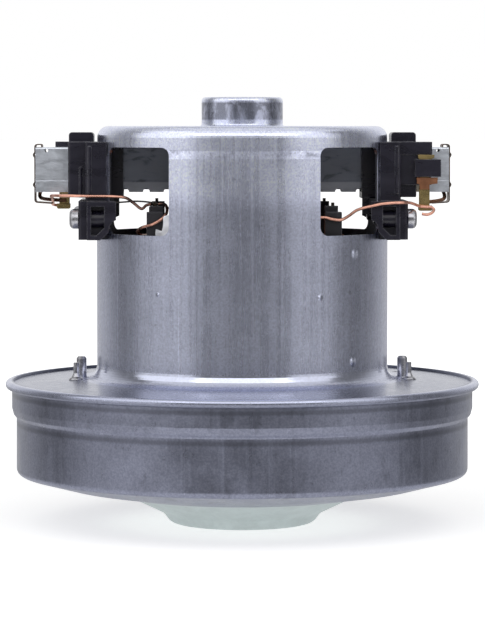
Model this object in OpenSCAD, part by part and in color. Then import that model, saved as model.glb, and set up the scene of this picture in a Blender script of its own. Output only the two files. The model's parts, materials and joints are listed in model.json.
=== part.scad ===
// Vacuum motor unit: a universal motor in a drawn can, with a one-stage fan in a crimped cover.
// The origin is the centre of the inlet lip's lower edge. +Z runs up the shaft, -Y is the front.

/* [Motor can] */
// Outside diameter of the can
can_d = 82.9; // [80:0.1:86]
// Thickness of the can's sheet
can_wall = 0.8; // [0.6:0.05:1]
// Height of the can above its flange
can_h = 71.4; // [70:0.1:80]
// Rounding of the can's top edge
can_edge_r = 3.2; // [2:0.1:4]
// Rounding between the can and its flange
flange_fillet_r = 3.8; // [2.5:0.1:5]
// How far the can is drawn in above the step line
can_step = 0.15; // [0.1:0.05:0.4]
// Distance of the step line below the can's top
can_step_drop = 6.8; // [6.4:0.1:8]
// Height of the bearing cup above the can
cup_h = 8.2; // [8:0.1:10]
// Rounding of the cup's top edge
cup_edge_r = 1.1; // [0.9:0.1:2]

/* [Exhaust windows] */
// Width of each window's straight punch
window_w = 24.9; // [20:0.1:27]
// Height of each window
window_h = 24.2; // [20:0.1:26]
// Distance of the windows' top edge below the can's top
window_drop = 5.9; // [5:0.1:8]
// Corner radius of the windows
window_r = 2.5; // [1:0.1:5]
// Angle between a window's middle and the front or back
window_angle = 47.5; // [44:0.5:50]

/* [Fan cover] */
// Diameter over the rolled rim
rim_d = 135; // [130:0.1:138]
// Height of the flange at the can, above the inlet lip
flange_z = 41.8; // [41.8:0.1:48]
// How far the flange falls from the can to the rim
flange_fall = 1.55; // [1:0.05:2]
// Thickness of the cover's sheet
cover_wall = 0.7; // [0.5:0.05:0.8]
// How far the upper wall band lies inside the rim
band_inset = 1.8; // [1.5:0.1:2.2]
// How far the lower wall lies inside the upper band
wall_step = 1.3; // [0.9:0.1:1.6]
// Height of the upper band's lower edge below the flange
band_drop = 8.5; // [7:0.1:9]
// Height of the wall's slanted step
step_h = 2.8; // [2.4:0.1:3.4]
// Rounding of the cover's bottom corner
cover_corner_r = 1.8; // [1.2:0.1:2.4]
// Height of the cover's floor at the wall
floor_edge_z = 14.6; // [13.5:0.1:14.6]
// Height of the floor halfway in
floor_mid_z = 11.2; // [10.4:0.1:11.2]
// Height of the floor where the nose starts
nose_top_z = 8; // [7:0.1:8]
// Radius where the nose meets the floor
nose_top_r = 33; // [31:0.5:35]
// Height of the nose where its flare turns down to the lip
nose_mid_z = 3; // [2.4:0.1:3.4]
// Radius of the inlet eye
inlet_r = 15.5; // [14:0.1:15.5]
// Rounding of the inlet lip's inner edge
lip_r = 1.5; // [1.1:0.1:1.7]
// Height of the inlet collar's inner end
collar_z = 5.2; // [4.4:0.1:5.6]

/* [Impeller] */
// Space between the impeller and the cover's wall
fan_clear = 6.7; // [6:0.1:9]
// Thickness of the impeller's sheet
fan_sheet = 0.8; // [0.5:0.1:1]
// Height of the front disc's edge at its outside
fan_edge_z = 15; // [14.8:0.1:17]
// Height of the front disc where its slope changes
fan_knee_z = 12.4; // [12:0.1:13]
// Radius where the front disc's slope changes
fan_knee_r = 38; // [35:0.5:42]
// Running gap between the inlet collar and the impeller's eye
eye_gap = 0.8; // [0.5:0.1:1]
// Height of the eye ring's lower end
eye_z = 3.4; // [3:0.1:4]
// Number of impeller blades
blade_count = 9; // [7:1:11]
// Angle that each blade sweeps backwards
blade_sweep = 62; // [40:1:75]
// Running gap between the impeller and the diffuser
fan_gap = 0.6; // [0.4:0.1:1]
// Width of the nut across its flats
nut_af = 13; // [12:0.5:14]
// Height of the nut
nut_h = 6.5; // [5:0.1:8]

/* [Diffuser] */
// Height of the diffuser, vanes included
diffuser_h = 13; // [11:0.1:13]
// Thickness of the diffuser's plate
diffuser_plate = 1.8; // [1.2:0.1:2.5]
// Space between the diffuser's plate and the cover's wall
plate_clear = 5.4; // [4.8:0.1:5.8]
// Gap between the outer vanes and the cover
vane_gap = 0.3; // [0.2:0.05:1]
// Thickness of the diffuser's vanes
vane_t = 1.2; // [0.8:0.1:2]
// Number of outer vanes
outer_vanes = 13; // [9:1:17]
// Number of return vanes
return_vanes = 10; // [8:1:14]

/* [Bearings and shaft] */
// Bore of the upper bearing
upper_bore = 7; // [6:0.5:7.5]
// Outside diameter of the upper bearing
upper_od = 19; // [18.5:0.1:19.5]
// Width of the upper bearing
upper_w = 6; // [5.5:0.1:6.2]
// Thickness of the rubber ring round the upper bearing
damper_t = 1.275; // [1:0.025:2]
// Ball diameter of the upper bearing
upper_ball = 3.5; // [3.2:0.1:3.6]
// Bore of the lower bearing
lower_bore = 8; // [7:0.5:8.5]
// Outside diameter of the lower bearing
lower_od = 22; // [21:0.1:23]
// Width of the lower bearing
lower_w = 7; // [6:0.1:7.2]
// Ball diameter of the lower bearing
lower_ball = 3.97; // [3.6:0.01:4.1]
// Number of balls in each bearing
ball_count = 7; // [6:1:7]
// Diameter of the shaft through the armature
shaft_d = 10; // [9.5:0.1:11]
// Thickness of the bearing bracket's sheet
bracket_t = 1.4; // [1:0.1:1.6]
// Space between the bearing bracket and the cover's wall
bracket_clear = 6.2; // [6:0.1:8]
// Width of the bracket's arms
arm_w = 12; // [8:0.5:14]

/* [Motor core] */
// Length of the stator and armature cores
core_h = 24; // [20:0.5:26]
// Height of the cores' lower face above the flange
core_lift = 8.4; // [8:0.1:10]
// Outside radius of the armature core
armature_r = 21.2; // [20:0.1:22]
// Air gap between armature and stator
air_gap = 0.5; // [0.4:0.05:0.8]
// Number of armature slots
slot_count = 12; // [8:1:12]
// Outside radius of the commutator
comm_r = 12.5; // [11.5:0.1:13]
// Length of the commutator's brush track
comm_h = 13.6; // [13:0.1:14]
// Number of commutator bars
bar_count = 24; // [12:2:24]

/* [Brush gear] */
// Distance of the brush axis below the can's top
brush_drop = 12.35; // [12.2:0.05:13]
// Thickness of the carbon brush across the shaft
brush_t = 6.5; // [6:0.1:7]
// Width of the carbon brush along the shaft
brush_w = 11.2; // [10:0.1:11.4]
// Length of the carbon brush
brush_l = 32; // [28:0.5:33]
// Gap between the brush and its tube
brush_gap = 0.15; // [0.1:0.01:0.3]
// Wall of the brush tube
tube_wall = 0.6; // [0.4:0.05:0.7]
// Distance of the tube's inner end from the shaft's axis
tube_x0 = 15.5; // [14.5:0.1:18]
// Distance of the tube's outer end from the shaft's axis
tube_x1 = 58.7; // [57:0.1:60]
// Half the width of the holder's saddle
saddle_y = 16.2; // [15:0.1:16.6]
// Distance of the saddle's outer face from the shaft's axis
saddle_x = 44.2; // [44:0.1:45.5]
// Half the width of the holder's lower wings
wing_y = 21.5; // [20.5:0.1:22]
// Distance of the holder screws from the brush plane
holder_screw_y = 15.5; // [15:0.1:16]
// Outside diameter of the brush spring
spring_d = 5.8; // [5:0.1:6]
// Wire diameter of the brush spring
spring_wire = 0.6; // [0.4:0.05:0.8]
// Number of curls in the brush spring
spring_curls = 6; // [4:1:7]
// Diameter of the copper leads
lead_d = 0.85; // [0.6:0.05:1]
// Diameter of the brushes' flexible shunts
shunt_d = 1.1; // [0.8:0.05:1.3]
// Diameter of the thin tail wire
tail_d = 0.5; // [0.4:0.05:0.6]

/* [Hidden] */
$fn = 72;

// Clearances: flat faces that only meet, pieces that slide, and running parts
seat = 0.05;
slip = 0.15;
run = 0.3;
// A cut's overrun past the face it opens
cut = 1;
arc_steps = 8;

can_r = can_d / 2;
can_in_r = can_r - can_wall;
cup_in_r = upper_od / 2 + damper_t;
cup_r = cup_in_r + can_wall;
cup_fillet_r = 0.7;
can_top_z = flange_z + can_h;
cup_top_z = can_top_z + cup_h;
step_rise = 2.2;
rim_r = rim_d / 2;
edge_z = flange_z - flange_fall;
rim_top_z = edge_z + seat + cover_wall;
rim_roll_r = cover_wall + can_wall / 2 + seat;
rim_low_z = rim_top_z - 2 * rim_roll_r;
band_r = rim_r - band_inset;
wall_r = band_r - wall_step;
wall_in_r = wall_r - cover_wall;
fan_r = wall_in_r - fan_clear;
diffuser_r = wall_in_r - plate_clear;
bracket_r = wall_in_r - bracket_clear;
flange_r = rim_r - cover_wall - slip * 2;
flange_flat_r = flange_r - 2.6;
fall_slope = flange_fall / (flange_flat_r - can_r);
rim_lap = 2.2;
// Smallest radius of a bend in the cover's sheet, and in the bracket's
bend_r = cover_wall + 0.15;
bracket_bend_r = bracket_t + 0.15;
// Height and reach of the slanted step's lower half
step_knee_h = 1;
step_knee_in = 0.45;
window_z = can_top_z - window_drop - window_h / 2;
brush_z = can_top_z - brush_drop;

tube_in_t = brush_t + 2 * brush_gap;
tube_in_w = brush_w + 2 * brush_gap;
tube_y = tube_in_t / 2 + tube_wall;
tube_z = tube_in_w / 2 + tube_wall;
brush_face_r = comm_r + run;
brush_x1 = brush_face_r + brush_l;

plate_z = flange_z - can_wall - seat;
bracket_z = plate_z - bracket_t;
cup_floor_z = plate_z - lower_w - 0.2;
diffuser_z = bracket_z - diffuser_h;
back_disc_z = diffuser_z - fan_gap - fan_sheet;
washer_t = 0.8;
core_z = flange_z + core_lift;
core_top_z = core_z + core_h;
coil_lift = 1.1;
coil_end_h = 6.4;
comm_z = brush_z - comm_h / 2;
upper_bearing_z = cup_top_z - can_wall - 0.9 - upper_w;

stud_x = can_r + 4.55;
stud_y = 2.5;
stud_r = 1.45;
pin_x = can_r + 5.75;
pin_y = -6.2;
pin_r = 0.8;
// The plain holes in the flange behind the screws
hole_x = can_r + 4.15;
hole_y = 21;
hole_r = 1.2;
holder_screw_z = brush_z - 13.6;
holder_seat_x = can_r + 4.65;
post_x = 24.6;
post_y = 25.5;
post_top_z = brush_z - 9.7;

// The brush holder in its station's frame: x runs out from the shaft, z up from the brush axis
holder_top = tube_z + 1.55;
holder_low = -tube_z - 1.05;
wing_top = -tube_z - 2.25;
holder_foot = holder_screw_z - brush_z - 5.8;
wing_in_x = can_r - 6.35;
wing_out_x = can_r + 2.15;
body_out_x = can_r + 7.75;
carrier_out_x = can_r + 11.75;
latch_y = -13.2;
latch_t = 1.3;

// The brass strip on the holder's front, in the same frame
strip_x = can_r + 8.55;
strip_w = 2.4;
strip_foot = -10.2;
strip_neck = -5.5;
strip_head = 3.4;

steel = [0.62, 0.64, 0.68];
bright = [0.78, 0.79, 0.8];
black = [0.14, 0.13, 0.16];
brass = [0.72, 0.58, 0.3];
copper = [0.8, 0.45, 0.28];
carbon = [0.22, 0.22, 0.23];
resin = [0.35, 0.2, 0.12];
white = [0.9, 0.89, 0.85];

function unit(v) = v / norm(v);
function turned(v, a) = [v[0] * cos(a) - v[1] * sin(a), v[0] * sin(a) + v[1] * cos(a)];
function polar(r, a) = [r * cos(a), r * sin(a)];

// The arc of radius r that replaces corner b on the path from a to c
function corner_arc(a, b, c, r) =
    let (
        u = unit(a - b),
        v = unit(c - b),
        half = acos(u * v) / 2,
        centre = b + unit(u + v) * r / sin(half),
        from = b + u * r / tan(half) - centre,
        side = sign(u[0] * v[1] - u[1] * v[0])
    )
    [for (i = [0 : arc_steps]) centre + turned(from, -side * (180 - 2 * half) * i / arc_steps)];

// A path whose entries are [x, y, corner radius], with its corners rounded
function rounded(path) = [
    for (i = [0 : len(path) - 1])
        let (p = [path[i][0], path[i][1]])
        if (path[i][2] == 0 || i == 0 || i == len(path) - 1)
            p
        else
            each corner_arc([path[i - 1][0], path[i - 1][1]], p, [path[i + 1][0], path[i + 1][1]], path[i][2])
];

// A path moved t to its own left
function shifted(path, t) = [
    for (i = [0 : len(path) - 1])
        let (
            before = unit(path[max(i, 1)] - path[max(i, 1) - 1]),
            after = unit(path[min(i + 1, len(path) - 1)] - path[min(i, len(path) - 2)]),
            n1 = [-before[1], before[0]],
            n2 = [-after[1], after[0]]
        )
        path[i] + t * (n1 + n2) / (1 + n1 * n2)
];

// The closed outline of a sheet of thickness t on a path's left side
function sheet(path, t) =
    let (inner = shifted(path, t))
    concat(path, [for (i = [len(path) - 1 : -1 : 0]) inner[i]]);

// A smooth curve through points, with n steps between each two
function smooth(p, n) =
    let (last = len(p) - 1)
    concat([
        for (i = [0 : last - 1], k = [0 : n - 1])
            let (
                t = k / n,
                a = p[max(i - 1, 0)],
                b = p[i],
                c = p[i + 1],
                d = p[min(i + 2, last)]
            )
            0.5 * (2 * b + (c - a) * t + (2 * a - 5 * b + 4 * c - d) * t * t
                + (3 * b - a - 3 * c + d) * t * t * t)
    ], [p[last]]);

// A round tube of radius r along a path in space; no part of the path runs along ref
module tube(path, r, sides, ref) {
    n = len(path);
    run_dir = [for (i = [0 : n - 1]) unit(path[min(i + 1, n - 1)] - path[max(i - 1, 0)])];
    points = [
        for (i = [0 : n - 1], j = [0 : sides - 1])
            let (a = unit(cross(run_dir[i], ref)), b = cross(run_dir[i], a))
            path[i] + r * (cos(360 * j / sides) * a + sin(360 * j / sides) * b)
    ];
    walls = [
        for (i = [0 : n - 2], j = [0 : sides - 1], half = [0, 1])
            let (k = (j + 1) % sides, lo = i * sides, hi = lo + sides)
            half == 0 ? [lo + j, hi + j, hi + k] : [lo + j, hi + k, lo + k]
    ];
    top = (n - 1) * sides;
    caps = [
        for (j = [1 : sides - 2], end = [0, 1])
            end == 0 ? [0, j, j + 1] : [top, top + j + 1, top + j]
    ];
    polyhedron(points, concat(walls, caps), convexity = 8);
}

module ring(r_out, r_in, h) {
    difference() {
        cylinder(r = r_out, h = h);
        translate([0, 0, -cut]) cylinder(r = r_in, h = h + 2 * cut);
    }
}

// A flat rounded rectangle centred on the origin
module rounded_rect(w, h, r) {
    square([w - 2 * r, h], center = true);
    square([w, h - 2 * r], center = true);
    for (x = [-1, 1], y = [-1, 1])
        translate([x * (w / 2 - r), y * (h / 2 - r)]) circle(r);
}

// A box between two corners
module block(low, high) {
    translate(low) cube(high - low);
}

// A profile drawn in x and z, carried from y0 to y1
module across(y0, y1) {
    translate([0, y1, 0]) rotate([90, 0, 0]) linear_extrude(y1 - y0) children();
}

// A profile drawn in y and z, carried from x0 to x1
module along_x(x0, x1) {
    translate([x0, 0, 0]) rotate([90, 0, 90]) linear_extrude(x1 - x0) children();
}

// Both brush stations: the right one is drawn, the left one is half a turn on
module at_station(left) {
    rotate([0, 0, left ? 180 : 0]) translate([0, 0, brush_z]) children();
}

can_path = rounded([
    [0, cup_top_z, 0],
    [cup_r, cup_top_z, cup_edge_r],
    [cup_r, can_top_z, cup_fillet_r],
    [can_r - can_step, can_top_z, can_edge_r],
    [can_r - can_step, can_top_z - can_step_drop, 0],
    [can_r, can_top_z - can_step_drop - step_rise, 0],
    [can_r, flange_z, flange_fillet_r],
    [flange_flat_r, edge_z, 8],
    [flange_r, edge_z, 0]
]);

module window_punch(angle) {
    rotate([0, 0, angle])
        translate([0, 0, window_z])
            along_x(can_in_r - window_w / 2, can_r + cut)
                rounded_rect(window_w, window_h, window_r);
}

module motor_can() {
    guide_y = 6.6;
    guide_low = -8.4;
    guide_high = 6.7;
    hole_z = edge_z - can_wall - cut;
    hole_h = flange_fall + can_wall + 3 * cut;
    color(steel)
        difference() {
            rotate_extrude() polygon(sheet(can_path, -can_wall));
            for (front = [-90, 90], side = [-1, 1])
                window_punch(front + side * window_angle);
            for (left = [true, false])
                at_station(left) {
                    block([can_in_r - 4, -guide_y, guide_low], [can_r + cut, guide_y, guide_high]);
                    for (y = [-1, 1])
                        translate([0, y * holder_screw_y, holder_screw_z - brush_z])
                            rotate([0, 90, 0]) cylinder(r = 1.3, h = can_r + cut);
                }
            for (side = [-1, 1]) {
                translate([side * stud_x, stud_y, hole_z]) cylinder(r = stud_r + seat, h = hole_h);
                translate([side * pin_x, pin_y, hole_z]) cylinder(r = pin_r + seat, h = hole_h);
                translate([side * hole_x, hole_y, hole_z]) cylinder(r = hole_r, h = hole_h);
            }
        }
}

lip_out_r = inlet_r + 4.9;
nose_mid_r = inlet_r + 7.1;
floor_mid_r = (wall_r + nose_top_r) / 2 + 3;
cover_path = rounded([
    [inlet_r, collar_z, 0],
    [inlet_r, 0, lip_r],
    [lip_out_r, 0, 3],
    [nose_mid_r, nose_mid_z, 4],
    [nose_top_r, nose_top_z, 8],
    [floor_mid_r, floor_mid_z, 20],
    [wall_r, floor_edge_z, cover_corner_r],
    [wall_r, flange_z - band_drop - step_h, bend_r],
    [band_r - step_knee_in, flange_z - band_drop - step_h + step_knee_h, bend_r],
    [band_r, flange_z - band_drop, bend_r],
    [band_r, rim_low_z, 0],
    [rim_r, rim_low_z, rim_roll_r - seat],
    [rim_r, rim_top_z, rim_roll_r - seat],
    [rim_r - rim_lap, rim_top_z, 0]
]);

module fan_cover() {
    color(steel)
        rotate_extrude() polygon(sheet(cover_path, cover_wall));
}

// A vane's outline: a sheet that runs from radius r0 to r1 while it turns by sweep
module vane_outline(r0, r1, sweep, t, steps) {
    polygon(sheet([for (i = [0 : steps]) polar(r0 + (r1 - r0) * i / steps, sweep * i / steps)], t));
}

// Everything above the bearing bracket's lower face, and a seat's gap below it
module over_bracket() {
    low_z = bracket_z - seat;
    rotate_extrude()
        polygon([
            [0, low_z],
            [can_r, low_z],
            [rim_r, low_z - fall_slope * (rim_r - can_r)],
            [rim_r, can_top_z],
            [0, can_top_z]
        ]);
}

screw_head_r = 2.7;
screw_head_h = 1.4;

module diffuser() {
    hub_in = lower_od / 2 + bracket_t + run;
    hub_wall = 2;
    vane_r = wall_in_r - vane_gap;
    boss_r = screw_head_r + slip + 0.9;
    return_in_r = hub_in + 11.3;
    return_out_r = diffuser_r - plate_clear - 0.9;
    return_sweep = 48;
    outer_in_r = return_out_r - 1;
    outer_sweep = -22;
    color(black)
        difference() {
            translate([0, 0, diffuser_z]) {
                ring(diffuser_r, hub_in, diffuser_plate);
                ring(hub_in + hub_wall, hub_in, diffuser_h);
                for (i = [0 : return_vanes - 1])
                    rotate([0, 0, 360 * i / return_vanes])
                        linear_extrude(diffuser_h)
                            vane_outline(return_in_r, return_out_r, return_sweep, vane_t, 8);
                for (i = [0 : outer_vanes - 1])
                    rotate([0, 0, 360 * i / outer_vanes])
                        linear_extrude(diffuser_h)
                            vane_outline(outer_in_r, vane_r - vane_t, outer_sweep, vane_t, 4);
                for (side = [-1, 1])
                    translate([side * stud_x, stud_y, 0]) cylinder(r = boss_r, h = diffuser_h);
            }
            over_bracket();
            for (side = [-1, 1])
                translate([side * stud_x, stud_y, diffuser_z - cut]) {
                    cylinder(r = stud_r + slip, h = diffuser_h + 3 * cut);
                    cylinder(r = screw_head_r + slip, h = cut + screw_head_h + 0.2);
                }
        }
}

bracket_path = rounded([
    [lower_bore / 2 + 3.2, cup_floor_z, 0],
    [lower_od / 2, cup_floor_z, 0.5],
    [lower_od / 2, plate_z, bracket_bend_r],
    [can_r, plate_z, 3],
    [bracket_r, plate_z - fall_slope * (bracket_r - can_r), 0]
]);

module bearing_bracket() {
    air_in = lower_od / 2 + bracket_t + 2.4;
    air_out = can_in_r - 2;
    low_z = bracket_z - flange_fall - cut;
    hole_h = plate_z - low_z + cut;
    color(bright)
        difference() {
            rotate_extrude() polygon(sheet(bracket_path, -bracket_t));
            translate([0, 0, bracket_z - cut])
                difference() {
                    ring(air_out, air_in, bracket_t + 2 * cut);
                    for (a = [0, 90])
                        rotate([0, 0, a])
                            translate([-air_out - cut, -arm_w / 2, -cut])
                                cube([2 * (air_out + cut), arm_w, bracket_t + 4 * cut]);
                }
            for (side = [-1, 1]) {
                translate([side * stud_x, stud_y, low_z]) cylinder(r = stud_r + seat, h = hole_h);
                translate([side * pin_x, pin_y, low_z]) cylinder(r = pin_r + seat, h = hole_h);
            }
        }
}

// The two screws come up through the diffuser and bracket, and their ends stand on the flange
module bracket_screws() {
    stand = 5.5;
    tip_h = 0.5;
    key_r = 1.4;
    key_deep = 0.8;
    head_z = diffuser_z + 0.1;
    tip_z = flange_z + stand - tip_h;
    color(bright)
        for (side = [-1, 1])
            translate([side * stud_x, stud_y, 0])
                difference() {
                    union() {
                        translate([0, 0, head_z]) cylinder(r = screw_head_r, h = screw_head_h);
                        translate([0, 0, head_z]) cylinder(r = stud_r, h = tip_z - head_z);
                        translate([0, 0, tip_z - seat])
                            cylinder(r1 = stud_r, r2 = stud_r - 0.4, h = tip_h + seat);
                    }
                    translate([0, 0, head_z - cut]) cylinder(r = key_r, h = cut + key_deep, $fn = 6);
                }
}

module locating_pins() {
    stand = 4.4;
    foot_r = 2.2;
    foot_h = 1.9;
    pin_z = plate_z - fall_slope * (norm([pin_x, pin_y]) + foot_r - can_r);
    foot_z = pin_z + can_wall + 2 * seat;
    low_z = pin_z - bracket_t + 0.3;
    color(bright)
        for (side = [-1, 1])
            translate([side * pin_x, pin_y, 0]) {
                translate([0, 0, low_z]) cylinder(r = pin_r, h = flange_z + stand - low_z);
                difference() {
                    translate([0, 0, foot_z]) rotate_extrude()
                        polygon([
                            [0, 0],
                            [foot_r, 0],
                            [foot_r - 0.3, 0.5],
                            [1.3, 0.9],
                            [pin_r, foot_h],
                            [0, foot_h]
                        ]);
                    translate([-side * pin_x, -pin_y, 0]) flange_solid();
                }
            }
}

// The flange with everything under it, grown by a seat's gap
module flange_solid() {
    rotate_extrude()
        polygon([
            [can_r, 0],
            [can_r, flange_z + seat],
            [rim_r, flange_z + seat - fall_slope * (rim_r - can_r)],
            [rim_r, 0]
        ]);
}

race_edge_r = 0.6;
// How far the outer and the inner race reach round the balls, and their gap to them
outer_grip = 0.55;
inner_grip = 0.6;
ball_gap = 0.1;
cage_h = 1.2;
cage_t = 1;

// A bearing's outer race with its two shields
module outer_race(bore, od, w, ball) {
    pitch_r = (bore + od) / 4;
    race = od / 2 - pitch_r - ball / 2 + outer_grip;
    inner = pitch_r - ball / 2 + inner_grip;
    shield = 0.3;
    difference() {
        rotate_extrude()
            polygon(rounded([
                [od / 2 - race, 0, 0],
                [od / 2, 0, race_edge_r],
                [od / 2, w, race_edge_r],
                [od / 2 - race, w, 0]
            ]));
        translate([0, 0, w / 2])
            rotate_extrude()
                translate([pitch_r, 0]) circle(ball / 2 + ball_gap, $fn = 32);
    }
    for (z = [0, w - shield])
        translate([0, 0, z]) ring(od / 2 - race + seat, inner + run, shield);
}

// A bearing's inner race
module inner_race(bore, od, w, ball) {
    pitch_r = (bore + od) / 4;
    inner = pitch_r - ball / 2 + inner_grip;
    difference() {
        ring(inner, bore / 2, w);
        translate([0, 0, w / 2])
            rotate_extrude()
                translate([pitch_r, 0]) circle(ball / 2 + ball_gap, $fn = 32);
    }
}

// A bearing's balls in their cage
module ball_set(bore, od, w, ball) {
    pitch_r = (bore + od) / 4;
    translate([0, 0, w / 2]) {
        for (i = [0 : ball_count - 1])
            rotate([0, 0, 360 * i / ball_count]) translate([pitch_r, 0, 0]) sphere(r = ball / 2);
        translate([0, 0, -cage_h / 2]) ring(pitch_r + cage_t / 2, pitch_r - cage_t / 2, cage_h);
    }
}

module upper_bearing_outer() {
    color(bright)
        translate([0, 0, upper_bearing_z]) outer_race(upper_bore, upper_od, upper_w, upper_ball);
}

module upper_bearing_inner() {
    color(bright)
        translate([0, 0, upper_bearing_z]) inner_race(upper_bore, upper_od, upper_w, upper_ball);
}

module upper_balls() {
    color(bright)
        translate([0, 0, upper_bearing_z]) ball_set(upper_bore, upper_od, upper_w, upper_ball);
}

module lower_bearing_outer() {
    color(bright)
        translate([0, 0, cup_floor_z]) outer_race(lower_bore, lower_od, lower_w, lower_ball);
}

module lower_bearing_inner() {
    color(bright)
        translate([0, 0, cup_floor_z]) inner_race(lower_bore, lower_od, lower_w, lower_ball);
}

module lower_balls() {
    color(bright)
        translate([0, 0, cup_floor_z]) ball_set(lower_bore, lower_od, lower_w, lower_ball);
}

module bearing_damper() {
    color(black)
        translate([0, 0, upper_bearing_z]) ring(cup_in_r, upper_od / 2, upper_w);
}

// A waved spring washer that presses the upper bearing down
module wave_washer() {
    waves = 3;
    steps = 36;
    t = 0.3;
    r_in = upper_od / 2 - 2.4;
    r_out = upper_od / 2 - 0.3;
    room = cup_top_z - can_wall - upper_bearing_z - upper_w;
    height = room - t - 2 * seat;
    points = [
        for (i = [0 : steps - 1])
            let (a = 360 * i / steps, z = height * (1 + sin(waves * a)) / 2)
            each [
                [r_in * cos(a), r_in * sin(a), z],
                [r_out * cos(a), r_out * sin(a), z],
                [r_out * cos(a), r_out * sin(a), z + t],
                [r_in * cos(a), r_in * sin(a), z + t]
            ]
    ];
    faces = [
        for (i = [0 : steps - 1], j = [0 : 3], half = [0, 1])
            let (k = (j + 1) % 4, lo = 4 * i, hi = 4 * ((i + 1) % steps))
            half == 0 ? [lo + j, hi + j, hi + k] : [lo + j, hi + k, lo + k]
    ];
    color(bright)
        translate([0, 0, upper_bearing_z + upper_w + seat]) polyhedron(points, faces, convexity = 6);
}

pole_body = 26;
shoe_t = 4.3;
slot_x = 29;
slot_y = 30;
yoke_x = 37.5;

// The stator lamination: a yoke with a pole at the front and one at the back
module stator_outline() {
    bore_r = armature_r + air_gap;
    difference() {
        union() {
            difference() {
                intersection() {
                    circle(can_in_r - seat);
                    square([2 * yoke_x, 2 * can_r], center = true);
                }
                rounded_rect(2 * slot_x, 2 * slot_y, 8);
            }
            square([pole_body, 2 * slot_y + 2], center = true);
            difference() {
                circle(bore_r + shoe_t);
                for (side = [-1, 1])
                    scale([side, 1])
                        polygon([[0, 0], polar(2 * can_r, -28), polar(2 * can_r, 28)]);
            }
        }
        circle(bore_r);
    }
}

module stator_core() {
    color(steel)
        translate([0, 0, core_z]) linear_extrude(core_h) stator_outline();
}

// A part of a ring, centred on the front, between two heights
module ring_sector(r_in, r_out, a0, a1, z0, z1) {
    rotate([0, 0, a0])
        rotate_extrude(angle = a1 - a0)
            translate([r_in, z0]) square([r_out - r_in, z1 - z0]);
}

// Saddle-shaped field coils round the two poles: their thickness, their end turns' reach and gap to the can
coil_t = 4.65;
coil_end_reach = 1.5;
coil_can_gap = 6.65;

module field_coils() {
    in_r = armature_r + air_gap + shoe_t + slip;
    side_r = in_r + coil_t;
    end_in = in_r - coil_end_reach;
    end_out = can_in_r - coil_can_gap;
    span = 62;
    leg = asin((pole_body / 2 + slip) / in_r);
    color(copper)
        for (back = [0, 180])
            rotate([0, 0, back - 90]) {
                for (side = [-1, 1])
                    ring_sector(in_r, side_r, side > 0 ? leg : -span, side > 0 ? span : -leg,
                        core_z - coil_lift, core_top_z + coil_lift);
                for (z = [core_z - coil_lift - coil_end_h, core_top_z + coil_lift])
                    ring_sector(end_in, end_out, -span, span, z, z + coil_end_h);
            }
}

insulator_t = 1;
// The forked tags' width, their depth in the posts, and their holes
tag_w = 0.9;
tag_hole = tag_w + 2 * seat;
tag_deep = 4.7;

module insulator_plate() {
    linear_extrude(insulator_t)
        difference() {
            stator_outline();
            difference() {
                circle(2 * can_r);
                circle(can_in_r - 1.2);
            }
        }
}

module upper_insulator() {
    post_w = 4.6;
    post_t = 3.4;
    head_w = post_w - 0.9;
    head_shift = (post_w - head_w) / 2;
    front_y = -post_y - post_t - 1.5;
    step_z = post_top_z - 1.7;
    guard_t = 2.1;
    guard_h = 8;
    color(black)
        difference() {
            union() {
                translate([0, 0, core_top_z + seat]) insulator_plate();
                for (back = [0, 180], side = [-1, 1])
                    rotate([0, 0, back]) {
                        block([side * post_x - post_w / 2, front_y, core_top_z + insulator_t / 2],
                            [side * post_x + post_w / 2, front_y + guard_t, core_top_z + guard_h]);
                        block([side * post_x - post_w / 2, front_y, core_top_z + guard_h],
                            [side * post_x + post_w / 2, -post_y + post_t / 2, step_z]);
                        block([side * (post_x - head_shift) - head_w / 2, -post_y - post_t / 2, step_z - 0.1],
                            [side * (post_x - head_shift) + head_w / 2, -post_y + post_t / 2, post_top_z]);
                    }
            }
            for (back = [0, 180], side = [-1, 1])
                rotate([0, 0, back])
                    block([side * post_x - tag_hole / 2, -post_y - tag_hole / 2, post_top_z - tag_deep],
                        [side * post_x + tag_hole / 2, -post_y + tag_hole / 2, post_top_z + cut]);
        }
}

module lower_insulator() {
    color(white)
        translate([0, 0, core_z - insulator_t - seat]) insulator_plate();
}

// Forked tags in the posts, which the coil ends are wrapped on
module coil_terminals() {
    color(brass)
        for (back = [0, 180], side = [-1, 1])
            rotate([0, 0, back])
                block([side * post_x - tag_w / 2, -post_y - tag_w / 2, post_top_z - tag_deep + 2 * seat],
                    [side * post_x + tag_w / 2, -post_y + tag_w / 2, post_top_z + tag_w]);
}

// The holder's lower part as seen from the front, with its corner cut back along the window
wing_outline = [
    [wing_out_x, wing_top],
    [wing_in_x, wing_top],
    [wing_in_x, holder_foot + 5.8],
    [wing_in_x + 1.5, holder_foot + 5.1],
    [wing_in_x + 2.3, holder_foot + 3.8],
    [wing_in_x + 2.5, holder_foot + 2.1],
    [wing_in_x + 4.9, holder_foot],
    [wing_out_x, holder_foot]
];

lip_t = 0.25;
lip_h = 3.2;
screw_hole_r = 1.3;
far_x = 60;

// A rounded block from the saddle's face out to x1, as wide as w about y, between two heights
module saddle_block(x1, y, w, r, z0, z1) {
    prism(z0, z1) translate([saddle_x, y]) rounded_rect(2 * (x1 - saddle_x), w, r);
}

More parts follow.
